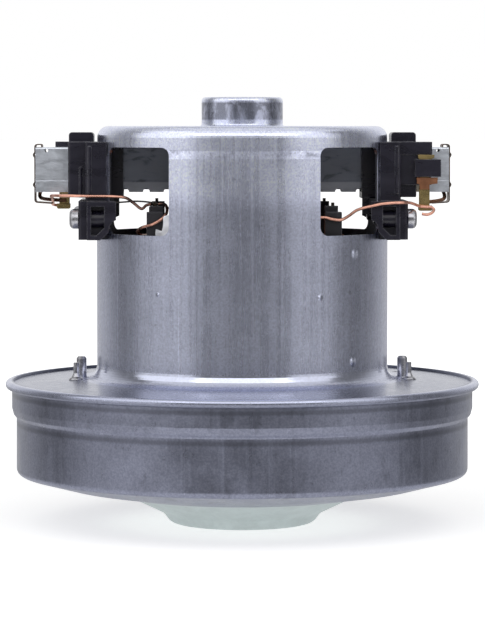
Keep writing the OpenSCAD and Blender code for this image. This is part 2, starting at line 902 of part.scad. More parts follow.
module holder_body() {
    saddle_deep = 12;
    rib_r = 0.45;
    cap_w = 10;
    cap_h = 2.7;
    cap_in_x = can_r + 0.75;
    screw_z = holder_screw_z - brush_z;
    difference() {
        union() {
            prism(holder_foot, holder_top)
                translate([saddle_x - saddle_deep / 2, 0]) rounded_rect(saddle_deep, 2 * saddle_y, 0.8);
            across(-wing_y, wing_y) polygon(wing_outline);
            saddle_block(holder_seat_x, 0, 2 * (holder_screw_y + 3), 1, holder_foot, wing_top);
            saddle_block(body_out_x, 1.95, 20.1, 0.8, holder_low, holder_top);
            saddle_block(carrier_out_x, -7.5, 7, 0.6, -4.2, 4.4);
            saddle_block(carrier_out_x + 0.2, -7, 8.6, 0.8, 4.3, holder_top);
            for (y = [-1, 1])
                prism(holder_low + 0.8, holder_top - 1.2)
                    translate([saddle_x - 1.2, y * saddle_y]) circle(rib_r, $fn = 24);
            prism(holder_low + 0.4, 0.8)
                translate([saddle_x + 1.4, 12]) circle(rib_r, $fn = 24);
            block([saddle_x - 0.3, -10.2, holder_low - 0.3], [body_out_x - 0.3, -6, -4]);
            across(-cap_w / 2, cap_w / 2)
                polygon(rounded([
                    [cap_in_x, holder_top - 0.1, 0],
                    [cap_in_x, holder_top + cap_h, 0.9],
                    [body_out_x, holder_top + cap_h, 0.9],
                    [body_out_x, holder_top - 0.1, 0]
                ]));
        }
        translate([0, 0, holder_foot - cut])
            cylinder(r = can_r + seat, h = holder_top - holder_foot + 2 * cut);
        for (y = [-1, 1])
            translate([0, y * holder_screw_y, screw_z])
                rotate([0, 90, 0]) cylinder(r = screw_hole_r, h = far_x);
        for (y = [-1, 1])
            holder_pocket(y, screw_z);
    }
}

// A pocket in a wing's face that leaves the screw boss standing in it
module holder_pocket(side, screw_z) {
    deep = 3.6;
    in_x = wing_in_x + 3.7;
    out_x = wing_out_x - 1.1;
    high = wing_top - 1.4;
    low = holder_foot + 1.3;
    y_face = side * wing_y;
    difference() {
        across(min(y_face, y_face - side * deep) - (side < 0 ? cut : 0),
            max(y_face, y_face - side * deep) + (side > 0 ? cut : 0))
            polygon([[in_x, high], [out_x, high], [out_x, low], [in_x + 2.2, low], [in_x, low + 2.1]]);
        translate([0, side * (holder_screw_y + 2.2), screw_z])
            rotate([0, 90, 0]) cylinder(r = 2.4, h = far_x);
    }
}

module prism(z0, z1) {
    translate([0, 0, z0]) linear_extrude(z1 - z0) children();
}

module brush_holder(left) {
    guide_x = can_r - 7.65;
    guide_y = 6.3;
    guide_h = 14.5;
    latch_in_x = body_out_x - 0.8;
    latch_out_x = body_out_x + 6.5;
    latch_low = -1.9;
    latch_high = 3;
    color(black)
        at_station(left)
            difference() {
                union() {
                    holder_body();
                    along_x(guide_x, saddle_x - 1)
                        translate([0, -0.85]) rounded_rect(2 * guide_y, guide_h, 0.6);
                    block([latch_in_x, latch_y, latch_low], [latch_out_x, latch_y + latch_t, latch_high]);
                    block([latch_in_x, latch_y + 0.5, latch_low], [strip_x - 0.2, -10.4, latch_high]);
                    if (!left)
                        block([guide_x + 0.2, -guide_y, holder_low - 5.2],
                            [guide_x + 2.2, -guide_y + 1.4, holder_low - 0.5]);
                }
                block([guide_x - cut, -tube_y - seat, -tube_z - seat],
                    [far_x, tube_y + seat, tube_z + seat]);
                block([guide_x - cut, -tube_y - lip_t - seat, -tube_z - seat],
                    [far_x, tube_y + lip_t + seat, -tube_z + lip_h + seat]);
            }
}

module brush_tube(left) {
    notch_r = 1;
    notch_pitch = 5.9;
    slot_l = 4.2;
    slot_w = 2;
    color(bright)
        at_station(left)
            difference() {
                union() {
                    along_x(tube_x0, tube_x1)
                        difference() {
                            rounded_rect(2 * tube_y, 2 * tube_z, 0.5);
                            square([tube_in_t, tube_in_w], center = true);
                        }
                    for (side = [-1, 1])
                        block([tube_x0, side > 0 ? tube_y - 0.1 : -tube_y - lip_t, -tube_z],
                            [tube_x1, side > 0 ? tube_y + lip_t : -tube_y + 0.1, -tube_z + lip_h]);
                }
                for (i = [1 : 3])
                    translate([tube_x0 + i * notch_pitch, 0, -tube_z]) rotate([90, 0, 0])
                        cylinder(r = notch_r, h = 4 * tube_y, center = true);
                translate([tube_x1 - 3.1, 0, tube_z - 0.95]) rotate([90, 0, 0])
                    cylinder(r = notch_r / 2, h = 4 * tube_y, center = true);
                block([tube_x1 - slot_l, -slot_w / 2, -tube_z - cut],
                    [tube_x1 + cut, slot_w / 2, -tube_z + tube_wall + 0.2]);
            }
}

// A sprung clip that closes the tube's outer end and holds the spring in
module end_clip(left) {
    t = 0.35;
    half_w = tube_y - seat * 12;
    face_x = tube_x1 + seat;
    bead_z = tube_z - 2.15;
    bead_h = 1.4;
    bead_out = 0.5;
    hook_l = 1.6;
    hook_z = tube_z + 0.6;
    foot_l = 4.7;
    foot_z = -tube_z - 2.75;
    path = rounded([
        [face_x - hook_l, tube_z + seat, 0],
        [face_x - hook_l, hook_z, 0.2],
        [face_x, hook_z, 0.5],
        [face_x, bead_z + bead_h / 2 - 0.1, 0],
        [face_x + bead_out, bead_z, 0.4],
        [face_x, bead_z - bead_h / 2 - 0.1, 0],
        [face_x, -bead_z + bead_h / 2 - 0.1, 0],
        [face_x + bead_out, -bead_z - 0.1, 0.4],
        [face_x, -bead_z - bead_h / 2 - 0.1, 0],
        [face_x, foot_z, 0.6],
        [face_x - foot_l, foot_z - 0.3, 0]
    ]);
    color(bright)
        at_station(left)
            across(-half_w, half_w) polygon(sheet(path, t));
}

strip_y = -11 - seat;
strip_t = 0.8;

// The brass strip that takes the brush's current down to the tab and crimp
module brush_terminal(left) {
    front_y = strip_y - strip_t;
    out_x = strip_x + strip_w;
    head_in_x = strip_x - 0.7;
    head_out_x = out_x + 1.5;
    head_top = strip_head + 0.85;
    head_low = strip_head - 0.6;
    foot_in_x = strip_x - 0.4;
    foot_out_x = out_x + 0.2;
    crimp_in_x = strip_x - 0.6;
    crimp_out_x = out_x + 0.9;
    crimp_top = strip_foot + 0.2;
    crimp_low = strip_foot - 1.3;
    color(brass)
        at_station(left) {
            across(front_y, strip_y)
                polygon([
                    [head_in_x, head_top],
                    [head_in_x, strip_head],
                    [strip_x, head_low],
                    [strip_x, strip_neck + 1.6],
                    [foot_in_x, strip_neck],
                    [foot_in_x, strip_foot],
                    [foot_out_x, strip_foot],
                    [foot_out_x, strip_neck],
                    [out_x, strip_neck + 1.6],
                    [out_x, head_low],
                    [head_out_x, strip_head],
                    [head_out_x, head_top]
                ]);
            across(front_y - strip_t, strip_y + 0.5)
                polygon(rounded([
                    [crimp_in_x, crimp_top, 0],
                    [crimp_in_x, crimp_low, 0.5],
                    [crimp_out_x, crimp_low, 0.5],
                    [crimp_out_x, crimp_top, 0]
                ]));
        }
}

// The copper clamp that grips the terminal strip under the latch
module tab_clamp(left) {
    back_y = strip_y - strip_t - seat;
    t = 0.7;
    bar_in_x = strip_x - 1.1;
    bar_out_x = strip_x + 4.8;
    tab_in_x = strip_x - 0.3;
    tab_out_x = strip_x + strip_w + 0.1;
    bar_top = strip_neck + 3.4;
    bar_low = strip_neck + 1.7;
    color(copper)
        at_station(left)
            across(back_y - t, back_y)
                polygon([
                    [bar_in_x, bar_top],
                    [bar_in_x, bar_low],
                    [tab_in_x, bar_low - 0.3],
                    [tab_in_x, strip_neck],
                    [tab_out_x, strip_neck],
                    [tab_out_x, bar_low - 0.3],
                    [bar_out_x, bar_low],
                    [bar_out_x, bar_top]
                ]);
}

module holder_screws() {
    head_r = 2.8;
    head_h = 2.5;
    seat_x = holder_seat_x;
    tip_x = seat_x - 9.6;
    thread_r = screw_hole_r - seat;
    cross_l = 3.4;
    cross_w = 0.8;
    cross_deep = 1.2;
    color(bright)
        for (left = [true, false], y = [-1, 1])
            at_station(left)
                translate([0, y * holder_screw_y, holder_screw_z - brush_z])
                    rotate([0, 90, 0])
                        difference() {
                            union() {
                                translate([0, 0, tip_x]) cylinder(r = thread_r, h = seat_x - tip_x + 0.5);
                                translate([0, 0, seat_x + seat]) rotate_extrude()
                                    polygon(rounded([
                                        [0, 0, 0],
                                        [head_r, 0, 0],
                                        [head_r, head_h, 1.3],
                                        [0, head_h, 0]
                                    ]));
                            }
                            for (a = [0, 90])
                                translate([0, 0, seat_x + head_h])
                                    rotate([0, 0, a])
                                        cube([cross_l, cross_w, 2 * cross_deep], center = true);
                        }
}

// Routes of the leads, at rest, in the whole unit's frame
lead_left_route = [
    [-51.8, 13.25, 90.2],
    [-53.4, 13.3, 90.3],
    [-54.3, 12.6, 90.5],
    [-54.5, 11, 90.7],
    [-54.4, 9.3, 90.85],
    [-54.2, 6.5, 91.5],
    [-54.2, 3, 92.5],
    [-54.3, -3, 93.2],
    [-53.8, -9.4, 93.6],
    [-51.6, -14, 93.7],
    [-47.6, -16.6, 93.7],
    [-43, -17.4, 93.6],
    [-38.4, -18.6, 93.6],
    [-34.6, -20, 93.5],
    [-32.4, -21.2, 93.1],
    [-30.4, -22.5, 91.7],
    [-28.4, -23.9, 90.3],
    [-27, -24.7, 91.3],
    [-25.6, -25.4, 91.6]
];
lead_right_route = [
    [50.3, -13.2, 88.5],
    [51.8, -13.3, 88.3],
    [53.1, -13.3, 88.8],
    [53.7, -13.3, 89.7],
    [52.9, -13.2, 90.4],
    [51.4, -13.2, 90.5],
    [49.6, -13.6, 90.7],
    [48, -16, 91.3],
    [46.4, -19.4, 91.8],
    [44.2, -22, 91.9],
    [41, -22.4, 91.8],
    [38, -22.5, 91.5],
    [35.6, -23.2, 91],
    [33.2, -24.6, 90.5],
    [31, -26.4, 89.8],
    [28.8, -29, 88.4],
    [26.6, -31, 87.4],
    [24.2, -31.3, 87.6],
    [21.7, -31.2, 88.1],
    [18.6, -31.4, 87.6],
    [16.2, -31.4, 85.4],
    [15, -30.4, 82.2]
];
coil_lead_route = [
    [-24.4, -22.8, 82.1],
    [-26.8, -22.8, 82.3],
    [-28.2, -24, 82.7],
    [-29.4, -26.2, 83.8],
    [-28.9, -28.2, 84.8],
    [-27.7, -31, 85.5],
    [-25.2, -31.2, 86.2],
    [-22.8, -31.5, 87.6],
    [-21.5, -30.9, 89.1],
    [-21.3, -28.6, 90.3],
    [-21.6, -27, 91.3],
    [-22.4, -25.8, 91.7],
    [-23.7, -25.5, 91.6]
];
tail_route = [
    [-35.8, -20.3, 91.9],
    [-33, -20.4, 92.1],
    [-30.4, -20.8, 92.3],
    [-27.5, -21.4, 92.2],
    [-24.6, -22, 91.8],
    [-22, -23.4, 91.2],
    [-20.6, -25.6, 90.3],
    [-20.2, -27.6, 89.5],
    [-20.2, -28.6, 88.4],
    [-20.2, -28.6, 86.6]
];
shunt_route = [
    [44.9, 0, -4.2],
    [48.6, 0, -4.3],
    [52.4, 0, -4.3],
    [55.2, 0, -4.6],
    [57, 0, -5.6],
    [57.7, -0.3, -7],
    [57.6, -2.4, -8],
    [56.7, -5.6, -8.5],
    [55, -8.6, -8.8],
    [52.6, -10.4, -9],
    [50.6, -10.45, -9.1]
];

module lead(route, d, n) {
    tube(smooth(route, n), d / 2, 8, [0.1, 0.2, 1]);
}

module lead_wire_left() {
    color(copper) lead(lead_left_route, lead_d, 3);
}

module lead_wire_right() {
    color(copper) lead(lead_right_route, lead_d, 3);
}

module coil_lead() {
    color(copper) lead(coil_lead_route, lead_d, 3);
}

// The white sleeve that the tail wire ends in
module lead_sleeve() {
    color(white)
        translate([-20.2, -28.6, core_top_z + coil_lift + coil_end_h + seat]) ring(1.9, 0.6, 6.8);
}

module tail_wire() {
    color(black) tube(smooth(tail_route, 3), tail_d / 2, 8, [1, 0.1, 0.2]);
}

module shunt(left) {
    color(copper)
        at_station(left) tube(smooth(shunt_route, 3), shunt_d / 2, 8, [0.1, 1, 0.3]);
}

module shaft() {
    tip_z = back_disc_z - washer_t - nut_h - 3;
    top_z = upper_bearing_z + upper_w + 0.3;
    low_r = lower_bore / 2;
    mid_r = shaft_d / 2;
    top_r = upper_bore / 2;
    seat_z = cup_floor_z + lower_w;
    bevel = 0.6;
    color(bright)
        rotate_extrude()
            polygon([
                [0, tip_z],
                [low_r - bevel, tip_z],
                [low_r, tip_z + bevel],
                [low_r, seat_z],
                [mid_r, seat_z],
                [mid_r, comm_z + comm_h + 1.5],
                [top_r + 0.8, comm_z + comm_h + 2],
                [top_r + 0.8, upper_bearing_z],
                [top_r, upper_bearing_z],
                [top_r, top_z - bevel],
                [top_r - bevel, top_z],
                [0, top_z]
            ]);
}

slot_round_r = 2.9;
slot_round_at = 15.6;
slot_mouth = 1.8;

module armature_slots(grow) {
    for (i = [0 : slot_count - 1])
        rotate([0, 0, 360 * (i + 0.5) / slot_count]) {
            translate([slot_round_at, 0]) circle(slot_round_r - grow, $fn = 32);
            translate([slot_round_at, -slot_mouth / 2 + grow / 2])
                square([armature_r - slot_round_at + (grow > 0 ? -0.8 : cut), slot_mouth - grow]);
        }
}

module armature_core() {
    color(steel)
        translate([0, 0, core_z])
            linear_extrude(core_h)
                difference() {
                    circle(armature_r);
                    circle(shaft_d / 2);
                    armature_slots(0);
                }
}

module armature_winding() {
    in_r = shaft_d / 2 + 1.4;
    out_r = armature_r - 2.4;
    low_z = core_z - coil_end_h;
    high_z = comm_z - 4.2;
    shoulder_z = core_top_z + 7;
    color(copper) {
        translate([0, 0, core_z - 0.5]) linear_extrude(core_h + 1) armature_slots(0.2);
        rotate_extrude()
            polygon(rounded([
                [in_r, core_z - run, 0],
                [in_r, low_z, 1.5],
                [out_r - 0.2, low_z, 3.4],
                [out_r, core_z - run, 0]
            ]));
        rotate_extrude()
            polygon(rounded([
                [in_r, core_top_z + run, 0],
                [out_r, core_top_z + run, 0],
                [out_r - 0.4, shoulder_z, 4],
                [comm_r + 0.6, high_z, 3],
                [in_r, high_z, 0]
            ]));
    }
}

bar_deep = 2.6;

module commutator_bars() {
    hook_r = comm_r + 1.6;
    hook_h = 2.2;
    hook_gap = 1.5;
    groove = 0.5;
    groove_deep = 0.9;
    color(copper)
        difference() {
            union() {
                translate([0, 0, comm_z - hook_h]) ring(comm_r, comm_r - bar_deep, comm_h + hook_h);
                translate([0, 0, comm_z - hook_h]) ring(hook_r, comm_r - 1, hook_h);
            }
            for (i = [0 : bar_count - 1])
                rotate([0, 0, 360 * i / bar_count]) {
                    translate([comm_r - groove_deep, -groove / 2, comm_z - cut])
                        cube([2, groove, comm_h + 2 * cut]);
                    translate([comm_r - groove_deep, -hook_gap / 2, comm_z - hook_h - cut])
                        cube([4, hook_gap, hook_h + 2 * cut]);
                }
        }
}

module commutator_hub() {
    color(resin)
        translate([0, 0, comm_z - 3]) ring(comm_r - bar_deep, shaft_d / 2, comm_h + 3.8);
}

module spacer_bush() {
    low_z = back_disc_z + fan_sheet + washer_t;
    color(bright)
        translate([0, 0, low_z]) ring(lower_bore / 2 + 2.1, lower_bore / 2, cup_floor_z - low_z);
}

fan_eye_r = inlet_r + cover_wall + eye_gap;
front_path = rounded([
    [fan_eye_r, eye_z, 0],
    [fan_eye_r, eye_z + 1.6, 1],
    [fan_knee_r, fan_knee_z, 8],
    [fan_r, fan_edge_z, 0]
]);

module impeller_front_disc() {
    color(bright)
        rotate_extrude() polygon(sheet(front_path, fan_sheet));
}

module impeller_back_disc() {
    color(bright)
        translate([0, 0, back_disc_z]) ring(fan_r, lower_bore / 2, fan_sheet);
}

// Backward-curved blades, cut to the space between the two discs
module impeller_blades() {
    upper = shifted(front_path, fan_sheet);
    outlet_r = fan_r - 0.6;
    inlet_edge = fan_eye_r + 3;
    color(bright)
        intersection() {
            for (i = [0 : blade_count - 1])
                rotate([0, 0, 360 * i / blade_count])
                    linear_extrude(back_disc_z)
                        vane_outline(inlet_edge, outlet_r, -blade_sweep, fan_sheet, 10);
            rotate_extrude()
                polygon(concat(
                    [for (p = upper) if (p[0] > fan_eye_r + fan_sheet) p],
                    [[fan_r, back_disc_z], [fan_eye_r + fan_sheet + 0.2, back_disc_z]]
                ));
        }
}

module clamp_washers() {
    washer_r = 11;
    color(bright) {
        translate([0, 0, back_disc_z + fan_sheet]) ring(washer_r, lower_bore / 2, washer_t);
        translate([0, 0, back_disc_z - washer_t]) ring(washer_r, lower_bore / 2, washer_t);
    }
}

module impeller_nut() {
    low_z = back_disc_z - washer_t - nut_h;
    corner_r = nut_af / 2 / cos(30);
    bevel = 1;
    color(bright)
        difference() {
            intersection() {
                translate([0, 0, low_z]) cylinder(r = corner_r, h = nut_h, $fn = 6);
                translate([0, 0, low_z]) rotate_extrude()
                    polygon([
                        [0, 0],
                        [corner_r - bevel, 0],
                        [corner_r + 0.1, bevel * 0.6],
                        [corner_r + 0.1, nut_h],
                        [0, nut_h]
                    ]);
            }
            translate([0, 0, low_z - cut]) cylinder(r = lower_bore / 2, h = nut_h + 2 * cut);
        }
}

module carbon_brush(left) {
    color(carbon)
        at_station(left)
            difference() {
                block([0, -brush_t / 2, -brush_w / 2], [brush_x1, brush_t / 2, brush_w / 2]);
                translate([0, 0, -brush_w]) cylinder(r = brush_face_r, h = 2 * brush_w);
                translate([-cut, 0, 0])
                    cube([2 * (brush_face_r - 1), 3 * brush_t, 3 * brush_w], center = true);
            }
}

curl_rings = 8;

// The middle of the spring's wire, ring by ring from the brush to the clip
function spring_path() =
    let (
        x0 = brush_x1 + spring_wire / 2 + seat,
        x1 = tube_x1 - spring_wire / 2 - seat,
        r = (spring_d - spring_wire) / 2,
        steps = spring_curls * curl_rings
    )
    [for (i = [0 : steps]) concat(x0 + (x1 - x0) * i / steps, polar(r, 360 * i / curl_rings))];

// The least gap between a coil's wire and itself, measured between rings half a turn or more apart
function coil_gap(path, wire) =
    min([
        for (i = [0 : len(path) - 1], k = [i + curl_rings / 2 : 1 : len(path) - 1])
            norm(path[k] - path[i])
    ]) - wire;

echo(least_gap_of_the_brush_spring_to_itself = coil_gap(spring_path(), spring_wire));

module brush_spring(left) {
    color(bright)
        at_station(left) tube(spring_path(), spring_wire / 2, 6, [1, 0, 0]);
}

motor_can();
fan_cover();
diffuser();
bearing_bracket();
bracket_screws();
locating_pins();
upper_bearing_outer();
bearing_damper();
wave_washer();
lower_bearing_outer();
stator_core();
field_coils();
upper_insulator();
lower_insulator();
coil_terminals();
brush_holder(true);  // brush_holder_left
brush_holder(false);  // brush_holder_right
brush_tube(true);  // brush_tube_left
brush_tube(false);  // brush_tube_right
end_clip(true);  // end_clip_left
end_clip(false);  // end_clip_right
brush_terminal(true);  // brush_terminal_left
brush_terminal(false);  // brush_terminal_right
tab_clamp(true);  // tab_clamp_left
tab_clamp(false);  // tab_clamp_right
holder_screws();
lead_wire_left();
lead_wire_right();
coil_lead();
lead_sleeve();
tail_wire();
shunt(true);  // shunt_left
shunt(false);  // shunt_right
shaft();
armature_core();
armature_winding();
commutator_bars();
commutator_hub();
upper_bearing_inner();
lower_bearing_inner();
spacer_bush();
impeller_front_disc();
impeller_back_disc();
impeller_blades();
clamp_washers();
impeller_nut();
upper_balls();
lower_balls();
carbon_brush(true);  // carbon_brush_left
carbon_brush(false);  // carbon_brush_right
brush_spring(true);  // brush_spring_left
brush_spring(false);  // brush_spring_right
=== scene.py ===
import itertools
import json
import math

import bmesh
import bpy
from mathutils import Matrix, Vector


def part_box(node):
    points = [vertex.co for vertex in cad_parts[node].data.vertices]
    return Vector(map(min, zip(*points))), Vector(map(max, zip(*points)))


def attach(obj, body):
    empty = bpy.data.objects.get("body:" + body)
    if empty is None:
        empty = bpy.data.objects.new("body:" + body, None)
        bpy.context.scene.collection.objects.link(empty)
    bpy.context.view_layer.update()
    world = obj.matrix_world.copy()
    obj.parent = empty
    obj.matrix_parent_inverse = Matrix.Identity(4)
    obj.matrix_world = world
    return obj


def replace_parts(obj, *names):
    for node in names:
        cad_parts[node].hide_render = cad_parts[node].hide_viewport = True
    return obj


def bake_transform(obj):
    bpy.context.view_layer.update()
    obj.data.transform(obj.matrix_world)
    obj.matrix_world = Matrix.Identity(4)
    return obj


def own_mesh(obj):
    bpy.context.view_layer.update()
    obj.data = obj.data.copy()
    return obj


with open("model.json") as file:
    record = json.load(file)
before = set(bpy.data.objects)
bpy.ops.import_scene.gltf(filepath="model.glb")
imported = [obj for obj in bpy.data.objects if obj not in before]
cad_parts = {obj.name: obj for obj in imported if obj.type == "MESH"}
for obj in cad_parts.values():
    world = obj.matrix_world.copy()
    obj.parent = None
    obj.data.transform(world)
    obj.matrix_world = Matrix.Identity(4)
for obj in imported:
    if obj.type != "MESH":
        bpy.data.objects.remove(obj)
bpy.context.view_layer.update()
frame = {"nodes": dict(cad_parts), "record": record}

MM = 0.001

# The photograph's frame and the camera that fits it
IMAGE_W = 485
IMAGE_H = 628
AXIS_PX = 242.2
HORIZON_PX = 125.0
FOCAL_PX = 2978.6
CAMERA_DISTANCE = 0.850
CAMERA_AZIMUTH = math.radians(-1.1)
CAMERA_HEIGHT = 0.1135
CAMERA_SHIFT = -0.10
CAMERA_NEAR = 0.01
CAMERA_FAR = 20
SENSOR = 36.0

# What the frame gives: the brushes' height
TUBE_LOW, TUBE_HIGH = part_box("brush_tube_right")
BRUSH_Z = (TUBE_LOW.z + TUBE_HIGH.z) / 2


def make_camera():
    """The photograph's camera: level height, aimed a little down, with the rest of the framing by shift."""
    data = bpy.data.cameras.new("camera")
    camera = bpy.data.objects.new("camera", data)
    bpy.context.scene.collection.objects.link(camera)
    side = CAMERA_DISTANCE * math.sin(CAMERA_AZIMUTH)
    back = -CAMERA_DISTANCE * math.cos(CAMERA_AZIMUTH)
    centre_px = IMAGE_H / 2 + CAMERA_SHIFT * IMAGE_H
    pitch = math.atan((centre_px - HORIZON_PX) / FOCAL_PX)
    camera.location = (side, back, CAMERA_HEIGHT)
    camera.rotation_euler = (math.pi / 2 - pitch, 0, CAMERA_AZIMUTH)
    data.sensor_width = SENSOR
    data.lens = FOCAL_PX / IMAGE_H * SENSOR
    data.shift_x = (IMAGE_W / 2 - AXIS_PX) / IMAGE_H
    data.shift_y = CAMERA_SHIFT
    data.clip_start = CAMERA_NEAR
    data.clip_end = CAMERA_FAR
    bpy.context.scene.camera = camera


# Node helpers

# A mix node's colour sockets go by number, because its sockets of other kinds have the same names
MIX_FIRST = 6
MIX_SECOND = 7
MIX_RESULT = 2


class Nodes:
    """A node tree, with one method for each kind of node that the finishes, the room and the floor share."""

    def __init__(self, tree):
        self.tree = tree

    def make(self, kind, **settings):
        node = self.tree.nodes.new(kind)
        for key, value in settings.items():
            setattr(node, key, value)
        return node

    def feed(self, socket, value):
        """Give a socket another one's value, or a constant."""
        if isinstance(value, bpy.types.NodeSocket):
            self.tree.links.new(value, socket)
        else:
            socket.default_value = value

    def math(self, operation, first, second=0.0, clamp=False):
        node = self.make("ShaderNodeMath", operation=operation, use_clamp=clamp)
        self.feed(node.inputs[0], first)
        self.feed(node.inputs[1], second)
        return node.outputs[0]

    def ramp(self, value, low, high, to_low=0.0, to_high=1.0):
        """A smooth change from one number to another between two values."""
        node = self.make("ShaderNodeMapRange", interpolation_type="SMOOTHSTEP")
        self.feed(node.inputs["Value"], value)
        for key, number in (("From Min", low), ("From Max", high), ("To Min", to_low), ("To Max", to_high)):
            self.feed(node.inputs[key], number)
        return node.outputs["Result"]

    def fall(self, value, low, high):
        """1 up to the low value and 0 from the high one."""
        return self.ramp(value, low, high, 1.0, 0.0)

    def band(self, value, low, high, soft):
        """1 between two values and 0 beyond them, with soft edges."""
        rise = self.ramp(value, low - soft, low + soft)
        return self.math("MULTIPLY", rise, self.fall(value, high - soft, high + soft))

    def apart(self, vector):
        node = self.make("ShaderNodeSeparateXYZ")
        self.feed(node.inputs[0], vector)
        return node.outputs


class Look(Nodes):
    """A material's nodes, with its places in object coordinates."""

    def __init__(self, name):
        self.material = bpy.data.materials.new(name)
        self.material.use_nodes = True
        super().__init__(self.material.node_tree)
        self.shader = self.tree.nodes["Principled BSDF"]
        self.place = self.make("ShaderNodeTexCoord").outputs["Object"]

    def mapped(self, scale, offset=(0, 0, 0), source=None):
        node = self.make("ShaderNodeMapping")
        self.feed(node.inputs["Vector"], source or self.place)
        node.inputs["Scale"].default_value = scale
        node.inputs["Location"].default_value = offset
        return node.outputs["Vector"]

    def noise(self, scale, vector=None, detail=4.0, roughness=0.55, distortion=0.0):
        node = self.make("ShaderNodeTexNoise")
        self.feed(node.inputs["Vector"], vector or self.place)
        node.inputs["Scale"].default_value = scale
        node.inputs["Detail"].default_value = detail
        node.inputs["Roughness"].default_value = roughness
        node.inputs["Distortion"].default_value = distortion
        return node.outputs["Fac"]

    def bands(self, direction, scale, distortion, **settings):
        node = self.make("ShaderNodeTexWave", wave_type="BANDS", bands_direction=direction, **settings)
        node.inputs["Scale"].default_value = scale
        node.inputs["Distortion"].default_value = distortion
        return node

    def mix(self, factor, first, second, blend="MIX"):
        node = self.make("ShaderNodeMix", data_type="RGBA", blend_type=blend)
        self.feed(node.inputs["Factor"], factor)
        for index, colour in ((MIX_FIRST, first), (MIX_SECOND, second)):
            made = isinstance(colour, bpy.types.NodeSocket)
            self.feed(node.inputs[index], colour if made else (*colour, 1))
        return node.outputs[MIX_RESULT]

    def stain(self, tone, where, strength, colour):
        """The tone with a colour laid over it at a strength, where the mask is 1."""
        return self.mix(self.math("MULTIPLY", where, strength), tone, colour)

    def scaled(self, tone, factor):
        node = self.make("ShaderNodeVectorMath", operation="SCALE")
        self.feed(node.inputs[0], tone)
        self.feed(node.inputs["Scale"], factor)
        return node.outputs[0]

    def spot(self, centre, reach):
        """1 at a place on the part, falling to 0 at its reach, both in millimetres."""
        node = self.make("ShaderNodeVectorMath", operation="DISTANCE")
        self.feed(node.inputs[0], self.place)
        node.inputs[1].default_value = Vector(centre) * MM
        return self.fall(node.outputs["Value"], 0.0, reach * MM)

    def turned_place(self):
        """The place with its angle left out, for lines round a turned form, and its radius and height."""
        across, deep, height = self.apart(self.place)
        squares = [self.math("MULTIPLY", side, side) for side in (across, deep)]
        radius = self.math("SQRT", self.math("ADD", *squares))
        together = self.make("ShaderNodeCombineXYZ")
        self.feed(together.inputs["X"], radius)
        self.feed(together.inputs["Z"], height)
        return together.outputs[0], radius, height

    def bump(self, height, strength, distance, normal=None):
        node = self.make("ShaderNodeBump")
        self.feed(node.inputs["Height"], height)
        node.inputs["Strength"].default_value = strength
        node.inputs["Distance"].default_value = distance
        if normal is not None:
            self.feed(node.inputs["Normal"], normal)
        return node.outputs["Normal"]

    def rounded_edge(self, radius):
        node = self.make("ShaderNodeBevel", samples=4)
        node.inputs["Radius"].default_value = radius
        return node.outputs["Normal"]

    def edges(self, radius, low, high):
        """1 on sharp edges and 0 on flat faces, from how far a bevel of that radius turns the surface."""
        turned = self.make("ShaderNodeVectorMath", operation="DOT_PRODUCT")
        self.feed(turned.inputs[0], self.rounded_edge(radius))
        self.feed(turned.inputs[1], self.make("ShaderNodeNewGeometry").outputs["Normal"])
        return self.ramp(self.math("SUBTRACT", 1.0, turned.outputs["Value"]), low, high)

    def finish(self, colour, roughness, normal, metallic=0.0):
        self.feed(self.shader.inputs["Base Color"], colour)
        self.feed(self.shader.inputs["Roughness"], roughness)
        self.shader.inputs["Metallic"].default_value = metallic
        self.feed(self.shader.inputs["Normal"], normal)
        return self.material


def shade(colour, factor):
    return tuple(part * factor for part in colour)


# Finishes

# Zones and reliefs are in metres. A zone lies between two heights above the inlet lip's edge (Z), distances
# from the shaft's axis (R) or places across the part (X), and SOFT is how far its edges fade to either side.
SHEET_RELIEF = 0.00005
SHEET_WAVES = 0.0008
METAL_RELIEF = 0.00004
PLASTIC_RELIEF = 0.00003
CORE_RELIEF = 0.00008
WIRE_RELIEF = 0.00006
GRAIN_DARK = (0.84, 0.84, 0.86)
GRAIN_BRIGHT = (1.12, 1.12, 1.13)


